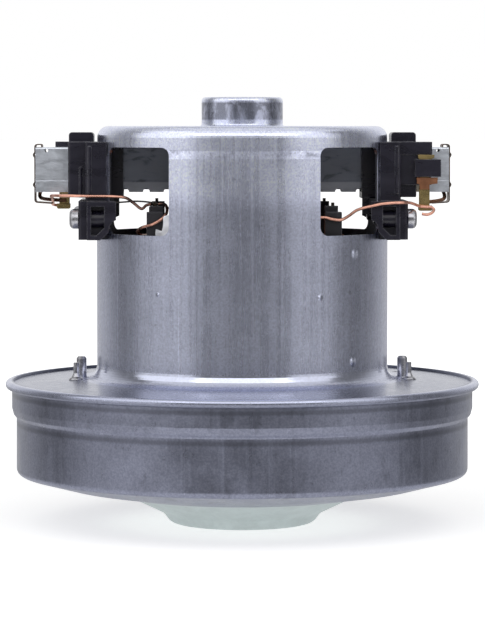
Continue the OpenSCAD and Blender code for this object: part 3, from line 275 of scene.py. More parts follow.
def steel_sheet(look, colour, rough, streak_depth, mottle_depth, waviness):
    """Drawn sheet steel's tone, roughness and relief: upright draw lines, grain, dull mottling and rings."""
    rings_place, radius, height = look.turned_place()
    streaks = look.noise(1.0, look.mapped((900, 900, 12)), detail=5, roughness=0.6)
    wide_streaks = look.noise(1.0, look.mapped((170, 170, 4), (3, 1, 0)), detail=3)
    scratches = look.ramp(look.noise(1.0, look.mapped((1300, 1300, 5), (7, 2, 0)), detail=2), 0.70, 0.74)
    rings = look.noise(1.0, look.mapped((700, 0, 700), source=rings_place), detail=4)
    grain = look.noise(1700.0, detail=2, roughness=0.7)
    mottle = look.noise(105.0, detail=6, roughness=0.64)
    patches = look.noise(34.0, detail=3, distortion=0.6)
    specks = look.ramp(look.noise(430.0, detail=2), 0.69, 0.76)
    dull = shade(colour, 1 - mottle_depth)
    clear = shade(colour, 1 + mottle_depth * 0.6)
    tone = look.mix(look.ramp(mottle, 0.34, 0.7), dull, clear)
    tone = look.mix(look.ramp(patches, 0.38, 0.66, 0.0, 0.45), tone, shade(colour, 1 - mottle_depth * 1.2))
    tone = look.mix(look.ramp(wide_streaks, 0.36, 0.66, 0.0, streak_depth * 0.7), tone, shade(colour, 0.86))
    tone = look.mix(look.ramp(streaks, 0.52, 0.72, 0.0, streak_depth), tone, shade(colour, 1.25))
    tone = look.stain(tone, specks, 0.45, shade(colour, 0.45))
    tone = look.stain(tone, scratches, 0.5, shade(colour, 1.45))
    tone = look.mix(1.0, tone, look.mix(look.ramp(grain, 0.3, 0.7), GRAIN_DARK, GRAIN_BRIGHT), "MULTIPLY")
    cloudy = look.ramp(mottle, 0.3, 0.7, rough - 0.4 * mottle_depth, rough + 0.6 * mottle_depth)
    roughness = look.math("ADD", cloudy, look.ramp(streaks, 0.3, 0.7, -0.04, 0.04))
    lines = look.math("ADD", streaks, look.math("MULTIPLY", rings, 0.4))
    relief = look.math("ADD", lines, look.math("MULTIPLY", grain, 0.3))
    normal = look.bump(patches, waviness, SHEET_WAVES, look.bump(relief, 0.30, SHEET_RELIEF))
    return tone, roughness, normal, radius, height


# The can's upper part, and how much painted light makes it lighter
CAN_UPPER_Z = (0.0885, 0.0960)
CAN_UPPER_PAINTED_LIGHT = 1.48
DRAW_STEP_Z = (0.1047, 0.1066)
DRAW_STEP_SOFT = 0.0010
CUP_SIDE_Z = (0.1150, 0.1199)
CUP_SIDE_R = (0.0118, 0.0121)
CUP_SIDE_SOFT = 0.0003
FLANGE_R = (0.0455, 0.0475)
FOOT_Z = (0.0424, 0.0455)
FOOT_R = (0.0412, 0.0416)
FOOT_SOFT = 0.0008
# Inside the can and on its windows' cut edges, where painted shade makes the steel near-black
CAN_INSIDE_Z = (0.0440, 0.1055)
CAN_INSIDE_R = (0.04115, 0.04135)
CAN_INSIDE_SOFT = 0.0004
CAN_INSIDE_SHADE = (0.05, 0.05, 0.055)
# Each dent's middle and reach, in millimetres
DENTS = (
    ((30.6, -27.9, 77.9), 1.7),
    ((30.1, -28.4, 48.1), 1.6),
    ((20.7, -35.9, 66.2), 1.0),
    ((-23.8, -33.9, 67), 0.7),
)
DENT_DEPTH = 0.00035


def can_steel(name, colour, rough):
    """The motor can: a lighter upper part from painted light, a rubbed cup, a patchy painted shade line at
    the draw step, painted shade on the flange, a smoother foot with a painted highlight, dents with painted
    highlights, and painted shade inside the can.
    """
    look = Look(name)
    sheet = steel_sheet(look, colour, rough, streak_depth=0.18, mottle_depth=0.04, waviness=0.03)
    tone, roughness, normal, radius, height = sheet
    # Painted light: the can is made lighter towards the top
    tone = look.scaled(tone, look.ramp(height, *CAN_UPPER_Z, 1.0, CAN_UPPER_PAINTED_LIGHT))
    # Painted shade: a patchy dark line along the draw step's crease
    step_patches = look.noise(1.0, look.mapped((260, 260, 420)), detail=5, roughness=0.7)
    step = look.band(height, *DRAW_STEP_Z, DRAW_STEP_SOFT)
    step_shade = look.math("MULTIPLY", step, look.ramp(step_patches, 0.42, 0.66, 0.0, 0.75))
    tone = look.mix(step_shade, tone, shade(colour, 0.30))
    scuff_place = look.mapped((330, 330, 190), (0.4, 2.2, 0))
    scuffs = look.noise(1.0, scuff_place, detail=6, roughness=0.72, distortion=0.7)
    cup_band = look.band(height, *CUP_SIDE_Z, CUP_SIDE_SOFT)
    cup = look.math("MULTIPLY", cup_band, look.fall(radius, *CUP_SIDE_R))
    rubbed = look.mix(look.ramp(scuffs, 0.45, 0.62), shade(colour, 0.42), shade(colour, 1.05))
    tone = look.stain(tone, cup, 0.9, rubbed)
    # Painted shade: the flange is made darker
    tone = look.mix(look.ramp(radius, *FLANGE_R, 0.0, 0.85), tone, shade(colour, 0.64))
    # The foot fillet is smoother, and a painted highlight makes it lighter
    foot = look.math("MULTIPLY", look.band(height, *FOOT_Z, FOOT_SOFT), look.ramp(radius, *FOOT_R))
    tone = look.stain(tone, foot, 0.6, shade(colour, 1.3))
    roughness = look.math("SUBTRACT", roughness, look.math("MULTIPLY", foot, 0.10))
    within = look.fall(radius, *CAN_INSIDE_R)
    inside = look.math("MULTIPLY", within, look.band(height, *CAN_INSIDE_Z, CAN_INSIDE_SOFT))
    # Painted shade: inside the can and on the windows' cut edges the steel is made near-black
    tone = look.stain(tone, inside, 0.85, CAN_INSIDE_SHADE)
    roughness = look.math("ADD", roughness, look.math("MULTIPLY", inside, 0.3))
    dents = look.spot(*DENTS[0])
    for centre, reach in DENTS[1:]:
        dents = look.math("ADD", dents, look.spot(centre, reach))
    normal = look.bump(dents, 1.0, DENT_DEPTH, normal)
    # Painted highlights: the dents are made lighter as well as pressed in
    tone = look.mix(look.math("MULTIPLY", dents, 0.35, clamp=True), tone, shade(colour, 1.5))
    return look.finish(tone, roughness, normal, metallic=1.0)


UPPER_GROOVE_Z = (0.0367, 0.0379)
UPPER_GROOVE_SOFT = 0.0004
LOWER_GROOVE_Z = (0.0284, 0.0297)
LOWER_GROOVE_SOFT = 0.0005
GROOVES_R = (0.0625, 0.0630)
NOSE_Z = (0.0105, 0.0120)
NOSE_R = (0.0360, 0.0400)
RIM_Z = (0.0393, 0.0401)
RIM_R = (0.0655, 0.0660)


def cover_steel(name, colour, rough, nose_colour_and_light):
    """The fan cover: the same sheet with handling marks, painted shade in the grooves, a painted highlight on
    a smoother rim, and a pale matt nose made paler by painted light from below.
    """
    look = Look(name)
    sheet = steel_sheet(look, colour, rough, streak_depth=0.34, mottle_depth=0.10, waviness=0.07)
    tone, roughness, normal, radius, height = sheet
    cloud_place = look.mapped((190, 190, 95), (1.3, 0.2, 0))
    cloud = look.noise(1.0, cloud_place, detail=7, roughness=0.68, distortion=0.25)
    tone = look.mix(look.ramp(cloud, 0.52, 0.70, 0.0, 0.60), tone, shade(colour, 0.52))
    tone = look.mix(look.ramp(cloud, 0.30, 0.42, 0.35, 0.0), tone, shade(colour, 1.25))
    # Painted shade: dark lines in the groove under the rim and in the one under the step
    upper_groove = look.band(height, *UPPER_GROOVE_Z, UPPER_GROOVE_SOFT)
    lower_groove = look.band(height, *LOWER_GROOVE_Z, LOWER_GROOVE_SOFT)
    grooves = look.math("MAXIMUM", upper_groove, lower_groove)
    grooves = look.math("MULTIPLY", grooves, look.ramp(radius, *GROOVES_R))
    tone = look.stain(tone, grooves, 0.6, shade(colour, 0.42))
    # The nose is paler and matt: partly its own finish, partly painted light from below
    nose = look.math("MULTIPLY", look.fall(height, *NOSE_Z), look.fall(radius, *NOSE_R))
    pale = look.mix(look.ramp(cloud, 0.35, 0.65), shade(nose_colour_and_light, 0.92), nose_colour_and_light)
    tone = look.mix(nose, tone, pale)
    roughness = look.math("ADD", roughness, look.math("MULTIPLY", nose, 0.22))
    # Painted highlight: the rim is made lighter, as well as smoother
    rim = look.math("MULTIPLY", look.ramp(height, *RIM_Z), look.ramp(radius, *RIM_R))
    tone = look.stain(tone, rim, 0.8, shade(colour, 1.9))
    roughness = look.math("SUBTRACT", roughness, look.math("MULTIPLY", rim, 0.10))
    return look.finish(tone, roughness, normal, metallic=1.0)


METAL_EDGE = 0.00018
INNER_R = (0.0395, 0.0410)


def plain_metal(name, colour, rough, scale=400.0, depth=0.12, wear=0.0, worn=(0.2, 0.12, 0.08), inside=None):
    """A small metal part: fine grain, uneven tone, rounded edges, and a tone in the can if given."""
    look = Look(name)
    grain = look.noise(scale, detail=5)
    patches = look.noise(scale / 6, detail=4, distortion=0.4)
    tone = look.mix(look.ramp(grain, 0.32, 0.7), shade(colour, 1 - depth), shade(colour, 1 + depth))
    if wear:
        tone = look.mix(look.ramp(patches, 0.5, 0.68, 0.0, wear), tone, worn)
    if inside:
        radius = look.turned_place()[1]
        tone = look.mix(look.fall(radius, *INNER_R), tone, inside)
    roughness = look.ramp(patches, 0.3, 0.7, rough - 0.06, rough + 0.1)
    normal = look.bump(grain, 0.22, METAL_RELIEF, look.rounded_edge(METAL_EDGE))
    return look.finish(tone, roughness, normal, metallic=1.0)


DUST_GREY = (0.22, 0.22, 0.24)
RUBBED_AND_LIT_GREY = (0.20, 0.20, 0.23)
RUBBED_AND_LIT_EDGE = 0.0004


def moulded(name, colour, rough, edge=0.00035, grain_depth=0.18, dust=0.0, wear=0.0):
    """Moulded plastic: fine grain, softly rounded edges, faint flow marks, handling dust, and lighter sharp
    edges, partly rubbed and partly a painted highlight.
    """
    look = Look(name)
    grain = look.noise(1600.0, detail=3)
    flow = look.noise(60.0, look.mapped((1, 1, 2.6)), detail=4, distortion=0.8)
    tone = look.mix(look.ramp(flow, 0.35, 0.7), shade(colour, 0.82), shade(colour, 1.25))
    if dust:
        specks = look.ramp(look.noise(300.0, detail=4, roughness=0.7), 0.6, 0.78, 0.0, dust)
        tone = look.mix(specks, tone, DUST_GREY)
    if wear:
        # Sharp edges turn lighter grey: partly rubbing, partly a painted highlight
        sharp = look.edges(RUBBED_AND_LIT_EDGE, 0.01, 0.16)
        rubbed = look.math("MULTIPLY", sharp, look.ramp(look.noise(420.0, detail=4), 0.36, 0.6, 0.2, wear))
        tone = look.mix(rubbed, tone, RUBBED_AND_LIT_GREY)
    roughness = look.ramp(flow, 0.3, 0.7, rough - 0.06, rough + 0.08)
    normal = look.bump(grain, grain_depth, PLASTIC_RELIEF, look.rounded_edge(edge))
    return look.finish(tone, roughness, normal)


DUSTY_AND_SHADED_X = (0.0385, 0.0415)
LAP_Z = (BRUSH_Z - 0.00375, BRUSH_Z - 0.0034)
SOOT_AND_SHADE_LIGHT = (0.23, 0.245, 0.29)
SOOT_AND_SHADE_DARK = (0.09, 0.096, 0.115)
LAP_GREY = (0.42, 0.43, 0.48)


def tube_steel(name, colour, rough):
    """The folded brush tubes: bright outside, grey inside the can with carbon dust and painted shade, lighter
    on the lap.
    """
    look = Look(name)
    grain = look.noise(500.0, detail=5)
    lines = look.noise(1.0, look.mapped((30, 600, 900)), detail=4)
    smears = look.noise(1.0, look.mapped((190, 240, 420), (0.3, 0, 0.1)), detail=5, distortion=0.8)
    place = look.apart(look.place)
    dusty_and_shaded = look.fall(look.math("ABSOLUTE", place["X"]), *DUSTY_AND_SHADED_X)
    lap = look.fall(place["Z"], *LAP_Z)
    tone = look.mix(look.ramp(grain, 0.32, 0.7), shade(colour, 0.9), shade(colour, 1.03))
    tone = look.mix(look.ramp(lines, 0.4, 0.66, 0.0, 0.4), tone, shade(colour, 0.78))
    # Inside the can the tubes darken: partly carbon dust, partly painted shade
    soot_and_shade = look.mix(look.ramp(smears, 0.55, 0.66, 0.0, 0.7), SOOT_AND_SHADE_LIGHT, SOOT_AND_SHADE_DARK)
    soot_and_shade = look.stain(soot_and_shade, lap, 0.8, LAP_GREY)
    tone = look.stain(tone, dusty_and_shaded, 0.93, soot_and_shade)
    smeared = look.ramp(smears, 0.3, 0.7, rough - 0.04, rough + 0.1)
    roughness = look.math("ADD", smeared, look.math("MULTIPLY", dusty_and_shaded, 0.18))
    relief = look.math("ADD", grain, lines)
    normal = look.bump(relief, 0.22, METAL_RELIEF, look.rounded_edge(METAL_EDGE))
    return look.finish(tone, roughness, normal, metallic=1.0)


# The wave texture's scale at which each sheet is about a millimetre thick
SHEET_SCALE = 2000 / 6.5
CORE_RUST = (0.16, 0.1, 0.07)


def laminations(name, colour, rough):
    """Stacked electrical steel: thin level sheets with their edges showing."""
    look = Look(name)
    sheets = look.bands("Z", SHEET_SCALE, 0.35, wave_profile="SAW")
    sheets.inputs["Detail Scale"].default_value = 60
    patches = look.noise(120.0, detail=5)
    tone = look.mix(look.ramp(sheets.outputs["Fac"], 0.0, 0.5), shade(colour, 0.55), colour)
    tone = look.mix(look.ramp(patches, 0.5, 0.72, 0.0, 0.5), tone, CORE_RUST)
    normal = look.bump(sheets.outputs["Fac"], 0.5, CORE_RELIEF)
    roughness = look.ramp(patches, 0.3, 0.7, rough - 0.06, rough + 0.16)
    return look.finish(tone, roughness, normal, metallic=1.0)


# Where painted shade darkens the wires in the left window, fully higher up and patchily lower down
WINDOW_SHADE_X = (-0.0335, -0.0100)
WINDOW_SHADE_SOFT = 0.0008
WINDOW_SHADE_Z = (0.0875, 0.0895)
LOWER_SHADE_Z = (0.0880, 0.0895)


def copper_wire(name, colour, rough, lay=0.0, window_shade=None):
    """Enamelled copper, banded like a braid if it has a lay, with painted shade in the left window if given a
    shade colour.
    """
    look = Look(name)
    uneven = look.noise(260.0, detail=4)
    relief = look.noise(2400.0, detail=3)
    tone = look.mix(look.ramp(uneven, 0.35, 0.68), shade(colour, 0.72), shade(colour, 1.12))
    if lay:
        relief = look.bands("DIAGONAL", lay, 1.2).outputs["Fac"]
        tone = look.mix(look.ramp(relief, 0.0, 0.5), shade(colour, 0.35), tone)
    if window_shade:
        # Painted shade: in the left window the wires turn near-black, and lower down patchy and darker
        place = look.apart(look.place)
        window = look.band(place["X"], *WINDOW_SHADE_X, WINDOW_SHADE_SOFT)
        dark = look.math("MULTIPLY", window, look.ramp(uneven, 0.35, 0.6, 0.75, 1.0))
        tone = look.mix(look.math("MULTIPLY", dark, look.ramp(place["Z"], *WINDOW_SHADE_Z)), tone, window_shade)
        lower_shade = look.math("MULTIPLY", dark, look.fall(place["Z"], *LOWER_SHADE_Z))
        patchy = look.math("MULTIPLY", lower_shade, 0.75)
        mottled = look.mix(look.ramp(uneven, 0.44, 0.6), shade(colour, 0.16), shade(colour, 0.9))
        tone = look.mix(patchy, tone, mottled)
    normal = look.bump(relief, 0.4, WIRE_RELIEF)
    roughness = look.ramp(uneven, 0.3, 0.7, rough - 0.05, rough + 0.12)
    return look.finish(tone, roughness, normal, metallic=0.9)


BRASS_OPTIONS = {
    "scale": 500,
    "depth": 0.18,
    "wear": 0.5,
    "worn": (0.2, 0.14, 0.06),
    "inside": (0.06, 0.048, 0.035),
}
# Each slot's finish, colour and roughness, and what else its finish takes
FINISHES = {
    "can_steel": (can_steel, (0.55, 0.575, 0.70), 0.28, {}),
    "cover_steel": (cover_steel, (0.285, 0.30, 0.38), 0.33, {"nose_colour_and_light": (0.66, 0.72, 0.72)}),
    "diffuser_plastic": (moulded, (0.02, 0.02, 0.022), 0.5, {}),
    "bracket_steel": (plain_metal, (0.58, 0.58, 0.6), 0.34, {}),
    "screw_steel": (plain_metal, (0.46, 0.46, 0.49), 0.24, {"scale": 700, "depth": 0.2}),
    "bearing_steel": (plain_metal, (0.72, 0.72, 0.74), 0.16, {"depth": 0.05}),
    "damper_rubber": (moulded, (0.02, 0.02, 0.02), 0.8, {}),
    "spring_steel": (plain_metal, (0.5, 0.5, 0.52), 0.3, {}),
    "lamination_steel": (laminations, (0.34, 0.34, 0.36), 0.44, {}),
    "enamelled_copper": (copper_wire, (0.50, 0.17, 0.06), 0.3, {}),
    "insulator_plastic": (moulded, (0.013, 0.012, 0.017), 0.42, {"dust": 0.08, "wear": 0.4}),
    "white_insulation": (moulded, (0.77, 0.78, 0.83), 0.55, {"edge": 0.0001, "grain_depth": 0.3}),
    "terminal_brass": (plain_metal, (0.50, 0.38, 0.17), 0.3, BRASS_OPTIONS),
    "holder_plastic": (moulded, (0.0125, 0.0112, 0.0225), 0.28, {"dust": 0.10, "wear": 0.9}),
    "tube_steel": (tube_steel, (0.82, 0.86, 0.94), 0.32, {}),
    "clip_steel": (plain_metal, (0.22, 0.18, 0.16), 0.42, {"depth": 0.3, "wear": 0.8}),
    "clamp_copper": (plain_metal, (0.34, 0.155, 0.085), 0.4, {"depth": 0.25, "wear": 0.4}),
    "copper_wire": (copper_wire, (0.94, 0.49, 0.37), 0.28, {"window_shade": (0.035, 0.024, 0.022)}),
    "dark_wire": (moulded, (0.03, 0.027, 0.025), 0.4, {}),
    "copper_braid": (copper_wire, (0.30, 0.15, 0.09), 0.42, {"lay": 900}),
    "shaft_steel": (plain_metal, (0.56, 0.56, 0.58), 0.25, {"depth": 0.08}),
    "commutator_copper": (copper_wire, (0.55, 0.24, 0.12), 0.25, {}),
    "resin": (moulded, (0.10, 0.035, 0.015), 0.4, {}),
    "impeller_aluminium": (plain_metal, (0.72, 0.73, 0.75), 0.33, {"depth": 0.08}),
    "carbon": (moulded, (0.03, 0.03, 0.033), 0.5, {"grain_depth": 0.5}),
}
MATERIALS = {}


def make_materials():
    """A material for each slot, on the CAD nodes that the record gives that slot."""
    for slot, (finish, colour, rough, options) in FINISHES.items():
        MATERIALS[slot] = finish(slot, colour, rough, **options)
    for row in frame["record"]["subparts"]:
        node = frame["nodes"][row["node"]]
        node.data.materials.clear()
        node.data.materials.append(MATERIALS[row["material_slot"]])


# Round wires, springs and braids along a route

def millimetres(points):
    return [Vector(point) * MM for point in points]


def smooth_route(points, steps):
    """A smooth curve through given points, with that many steps between each two."""
    last = len(points) - 1
    route = []
    for index in range(last):
        nearby = (max(index - 1, 0), index, index + 1, min(index + 2, last))
        before, start, end, after = (Vector(points[k]) for k in nearby)
        for step in range(steps):
            t = step / steps
            straight = (end - before) * t
            squared = (2 * before - 5 * start + 4 * end - after) * t * t
            cubed = (3 * start - before - 3 * end + after) * t ** 3
            route.append(0.5 * (2 * start + straight + squared + cubed))
    route.append(Vector(points[last]))
    return route


def frames_along(route):
    """Two normals at each point, turned as little as possible along the route."""
    last = len(route) - 1
    tangents = [(route[min(index + 1, last)] - route[max(index - 1, 0)]).normalized()
                for index in range(last + 1)]
    normal = tangents[0].orthogonal().normalized()
    frames = []
    for tangent in tangents:
        normal = (normal - tangent * normal.dot(tangent)).normalized()
        frames.append((normal.copy(), tangent.cross(normal)))
    return frames


def on_circle(centre, normals, radius, angle):
    """A point at an angle on a circle in the plane of two normals."""
    return centre + radius * (math.cos(angle) * normals[0] + math.sin(angle) * normals[1])


def add_tube(mesh, route, radius, sides=12):
    """A closed round tube along a route, with flat ends."""
    rings = []
    for point, normals in zip(route, frames_along(route)):
        angles = (2 * math.pi * k / sides for k in range(sides))
        rings.append([mesh.verts.new(on_circle(point, normals, radius, angle)) for angle in angles])
    for low, high in zip(rings, rings[1:]):
        for k in range(sides):
            mesh.faces.new((low[k], low[(k + 1) % sides], high[(k + 1) % sides], high[k]))
    mesh.faces.new(list(reversed(rings[0])))
    mesh.faces.new(rings[-1])


def piece(name, mesh, slot, body=None):
    """A piece of the model from its mesh, in the looks of a slot, riding on a body if one is given."""
    data = bpy.data.meshes.new(name)
    bmesh.ops.recalc_face_normals(mesh, faces=mesh.faces)
    mesh.to_mesh(data)
    mesh.free()
    for polygon in data.polygons:
        polygon.use_smooth = True
    obj = bpy.data.objects.new(name, data)
    bpy.context.scene.collection.objects.link(obj)
    data.materials.append(MATERIALS[slot])
    if body:
        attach(obj, body)
    return obj


# The routes that the CAD wires follow, in millimetres
LEAD_D = 0.85 * MM
TAIL_D = 0.5 * MM
LEAD_LEFT_ROUTE = [
    (-51.8, 13.25, 90.2), (-53.4, 13.3, 90.3), (-54.3, 12.6, 90.5), (-54.5, 11, 90.7),
    (-54.4, 9.3, 90.85), (-54.2, 6.5, 91.5), (-54.2, 3, 92.5), (-54.3, -3, 93.2),
    (-53.8, -9.4, 93.6), (-51.6, -14, 93.7), (-47.6, -16.6, 93.7), (-43, -17.4, 93.6),
    (-38.4, -18.6, 93.6), (-34.6, -20, 93.5), (-32.4, -21.2, 93.1), (-30.4, -22.5, 91.7),
    (-28.4, -23.9, 90.3), (-27, -24.7, 91.3), (-25.6, -25.4, 91.6),
]
LEAD_RIGHT_ROUTE = [
    (50.3, -13.2, 88.5), (51.8, -13.3, 88.3), (53.1, -13.3, 88.8), (53.7, -13.3, 89.7),
    (52.9, -13.2, 90.4), (51.4, -13.2, 90.5), (49.6, -13.6, 90.7), (48, -16, 91.3),
    (46.4, -19.4, 91.8), (44.2, -22, 91.9), (41, -22.4, 91.8), (38, -22.5, 91.5),
    (35.6, -23.2, 91), (33.2, -24.6, 90.5), (31, -26.4, 89.8), (28.8, -29, 88.4),
    (26.6, -31, 87.4), (24.2, -31.3, 87.6), (21.7, -31.2, 88.1), (18.6, -31.4, 87.6),
    (16.2, -31.4, 85.4), (15, -30.4, 82.2),
]
COIL_LEAD_ROUTE = [
    (-24.4, -22.8, 82.1), (-26.8, -22.8, 82.3), (-28.2, -24, 82.7), (-29.4, -26.2, 83.8),
    (-28.9, -28.2, 84.8), (-27.7, -31, 85.5), (-25.2, -31.2, 86.2), (-22.8, -31.5, 87.6),
    (-21.5, -30.9, 89.1), (-21.3, -28.6, 90.3), (-21.6, -27, 91.3), (-22.4, -25.8, 91.7),
    (-23.7, -25.5, 91.6),
]
TAIL_ROUTE = [
    (-35.8, -20.3, 91.9), (-33, -20.4, 92.1), (-30.4, -20.8, 92.3), (-27.5, -21.4, 92.2),
    (-24.6, -22, 91.8), (-22, -23.4, 91.2), (-20.6, -25.6, 90.3), (-20.2, -27.6, 89.5),
    (-20.2, -28.6, 88.4), (-20.2, -28.6, 86.6),
]


def make_leads():
    """The leads and the dark tail wire as round wires, each in its CAD node's place."""
    for name, route, width, slot in (
        ("lead_wire_left", LEAD_LEFT_ROUTE, LEAD_D, "copper_wire"),
        ("lead_wire_right", LEAD_RIGHT_ROUTE, LEAD_D, "copper_wire"),
        ("coil_lead", COIL_LEAD_ROUTE, LEAD_D, "copper_wire"),
        ("tail_wire", TAIL_ROUTE, TAIL_D, "dark_wire"),
    ):
        mesh = bmesh.new()
        add_tube(mesh, smooth_route(millimetres(route), steps=8), width / 2)
        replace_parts(piece(name + "_round", mesh, slot, "housing"), name)


def station(side):
    """The frame of one brush station: the right one is the pattern, and the left one is half a turn on."""
    turn = math.pi if side == "left" else 0
    return Matrix.Translation((0, 0, BRUSH_Z)) @ Matrix.Rotation(turn, 4, "Z")


# The shunt's places are in its station's frame, with its origin on the brush's axis, in millimetres
SHUNT_ROUTE = [
    (44.9, 0, -4.2), (48.6, 0, -4.3), (52.4, 0, -4.3), (55.2, 0, -4.6), (57, 0, -5.6),
    (57.7, -0.3, -7), (57.6, -2.4, -8), (56.7, -5.6, -8.5), (55, -8.6, -8.8),
    (52.6, -10.4, -9), (50.6, -10.45, -9.1),
]
SHUNT_BEND_START = (57.7, -0.3, -7.0)
SHUNT_BEND_END = (48.59, 5.27, -3.11)
SHUNT_D = 1.1 * MM
SHUNT_LAY = 5.5 * MM
STRANDS = 6
STRAND_SHARE = 0.19
CORE_SHARE = 0.2


def add_braid(mesh, route):
    """Strands laid round each other about a core."""
    strand_radius = SHUNT_D * STRAND_SHARE
    lay_radius = SHUNT_D / 2 - strand_radius
    frames = frames_along(route)
    lengths = [0.0] + [(end - start).length for start, end in zip(route, route[1:])]
    turns = [2 * math.pi * travelled / SHUNT_LAY for travelled in itertools.accumulate(lengths)]
    for k in range(STRANDS):
        path = [on_circle(point, normals, lay_radius, turn + 2 * math.pi * k / STRANDS)
                for point, normals, turn in zip(route, frames, turns)]
        add_tube(mesh, path, strand_radius, sides=8)
    add_tube(mesh, route, SHUNT_D * CORE_SHARE, sides=8)


def make_shunts():
    """Each shunt as a braid along its route, in place of its CAD node."""
    for side in ("left", "right"):
        place = station(side)
        mesh = bmesh.new()
        add_braid(mesh, [place @ point for point in smooth_route(millimetres(SHUNT_ROUTE), steps=10)])
        shunt = piece("shunt_" + side + "_braid", mesh, "copper_braid")
        start, end = (place @ point for point in millimetres((SHUNT_BEND_START, SHUNT_BEND_END)))
        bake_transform(shunt)
        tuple(start)
        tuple(end)
        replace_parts(shunt, "shunt_" + side)


SPRING_CURLS = 6
SPRING_CURL_STEPS = 28
SPRING_D = 5.8 * MM
SPRING_WIRE = 0.6 * MM


def spring_route(low_x, high_x):
    """A coil's middle line between two places along its station's X."""
    radius = (SPRING_D - SPRING_WIRE) / 2
    count = SPRING_CURLS * SPRING_CURL_STEPS
    route = []
    for index in range(count + 1):
        angle = 2 * math.pi * index / SPRING_CURL_STEPS
        along = low_x + (high_x - low_x) * index / count
        route.append(Vector((along, radius * math.cos(angle), radius * math.sin(angle))))
    return route


def make_springs():
    """Each brush spring as a coiled wire that rides on its brush, in place of its CAD node."""
    for side in ("left", "right"):
        inner, outer = sorted(abs(corner.x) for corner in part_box("brush_spring_" + side))
        place = station(side)
        mesh = bmesh.new()
        route = spring_route(inner + SPRING_WIRE / 2, outer - SPRING_WIRE / 2)
        add_tube(mesh, [place @ point for point in route], SPRING_WIRE / 2, sides=8)
        spring = piece("brush_spring_" + side + "_wire", mesh, "spring_steel", "brush_" + side)
        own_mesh(spring)
        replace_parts(spring, "brush_spring_" + side)


# The slip, in millimetres, and in degrees from the front towards -X
SLIP_ANGLES = (28, 38.4)
SLIP_Z = (76.2, 89.1)
SLIP_R = 39.4
SLIP_THICKNESS = 0.5
SLIP_COLUMNS = 28
SLIP_ROWS = 36
# Its top edge is wavy, and is torn lower beyond an angle
SLIP_WAVE = 0.6
SLIP_WAVES = 18
SLIP_TEAR_ANGLE = 34.6
SLIP_TEAR_WIDTH = 0.25
SLIP_TEAR_DROP = 4.1
# Each crease's height, and its waves up and round the slip
SLIP_CREASES = ((0.09, 2.1, 40), (0.07, 1.1, -75))


def slip_corner(column, row, depth):
    """One corner of the slip's grid, at a depth under its outer face."""
    first, last = SLIP_ANGLES
    angle = math.radians(first + (last - first) * column / SLIP_COLUMNS)
    torn = 0.5 + 0.5 * math.tanh((angle - math.radians(SLIP_TEAR_ANGLE)) / math.radians(SLIP_TEAR_WIDTH))
    low, high = SLIP_Z
    top = high - SLIP_WAVE * math.sin(SLIP_WAVES * angle) ** 2 - SLIP_TEAR_DROP * torn
    height = low + (top - low) * row / SLIP_ROWS
    radius = SLIP_R - depth
    for crease, upright, around in SLIP_CREASES:
        radius += crease * math.sin(upright * height + around * angle)
    return Vector((-radius * math.sin(angle), -radius * math.cos(angle), height)) * MM


def make_slip():
    """A crumpled white insulating slip between the coil and the can, in the left window's lower corner."""
    mesh = bmesh.new()
    places = [(column, row) for column in range(SLIP_COLUMNS + 1) for row in range(SLIP_ROWS + 1)]
    outer = {place: mesh.verts.new(slip_corner(*place, 0)) for place in places}
    inner = {place: mesh.verts.new(slip_corner(*place, SLIP_THICKNESS)) for place in places}
    for column in range(SLIP_COLUMNS):
        for row in range(SLIP_ROWS):
            around = ((column, row), (column, row + 1), (column + 1, row + 1), (column + 1, row))
            mesh.faces.new([outer[place] for place in around])
            mesh.faces.new([inner[place] for place in reversed(around)])
    rim = [(column, 0) for column in range(SLIP_COLUMNS)]
    rim += [(SLIP_COLUMNS, row) for row in range(SLIP_ROWS)]
    rim += [(column, SLIP_ROWS) for column in range(SLIP_COLUMNS, 0, -1)]
    rim += [(0, row) for row in range(SLIP_ROWS, 0, -1)]
    for one, two in zip(rim, rim[1:] + rim[:1]):
        mesh.faces.new((outer[one], outer[two], inner[two], inner[one]))
    piece("coil_slip", mesh, "white_insulation", "housing")


# Studio

WHITE = (1, 1, 1, 1)
ROOM_LEVEL = 0.18
BACKDROP_LEVEL = 0.95
# The Y part of a reflected ray's direction over which the room turns into the backdrop
BACKDROP_Y = (0.22, 1.05)


def make_world():
    """A white backdrop for the camera and for what shines towards it, in a plain grey room."""
    world = bpy.data.worlds.new("studio")
    bpy.context.scene.world = world
    world.use_nodes = True
    room = Nodes(world.node_tree)
    background = room.tree.nodes["Background"]
    background.inputs["Color"].default_value = WHITE
    rays = room.make("ShaderNodeLightPath").outputs
    seen = room.math("MAXIMUM", rays["Is Camera Ray"], rays["Is Transmission Ray"])
    back = room.apart(room.make("ShaderNodeTexCoord").outputs["Generated"])["Y"]
    behind = room.ramp(back, *BACKDROP_Y, 0.0, BACKDROP_LEVEL - ROOM_LEVEL)
    shining = room.math("MULTIPLY", rays["Is Glossy Ray"], behind)
    level = room.math("MAXIMUM", seen, room.math("ADD", ROOM_LEVEL, shining))
    room.feed(background.inputs["Strength"], level)


FLOOR_SIZE = 80.0
FLOOR_DROP = 0.0002
FLOOR_PAINT = (0.70, 0.70, 0.70, 1)
# To the camera the floor glows at this level up to the first distance from the axis, fully from the second
FLOOR_GLOW = 0.62
FLOOR_WHITE_R = (0.12, 0.45)
# In reflections it glows at this level up to the first distance, and has its sheen from the second
FLOOR_SHINE = 0.5
FLOOR_NEAR_R = (0.07, 0.15)
FLOOR_SHEEN = 0.75
FLOOR_SHEEN_ROUGHNESS = 0.2
FLOOR_SHEEN_COLOUR = (0.85, 0.85, 0.85, 1)


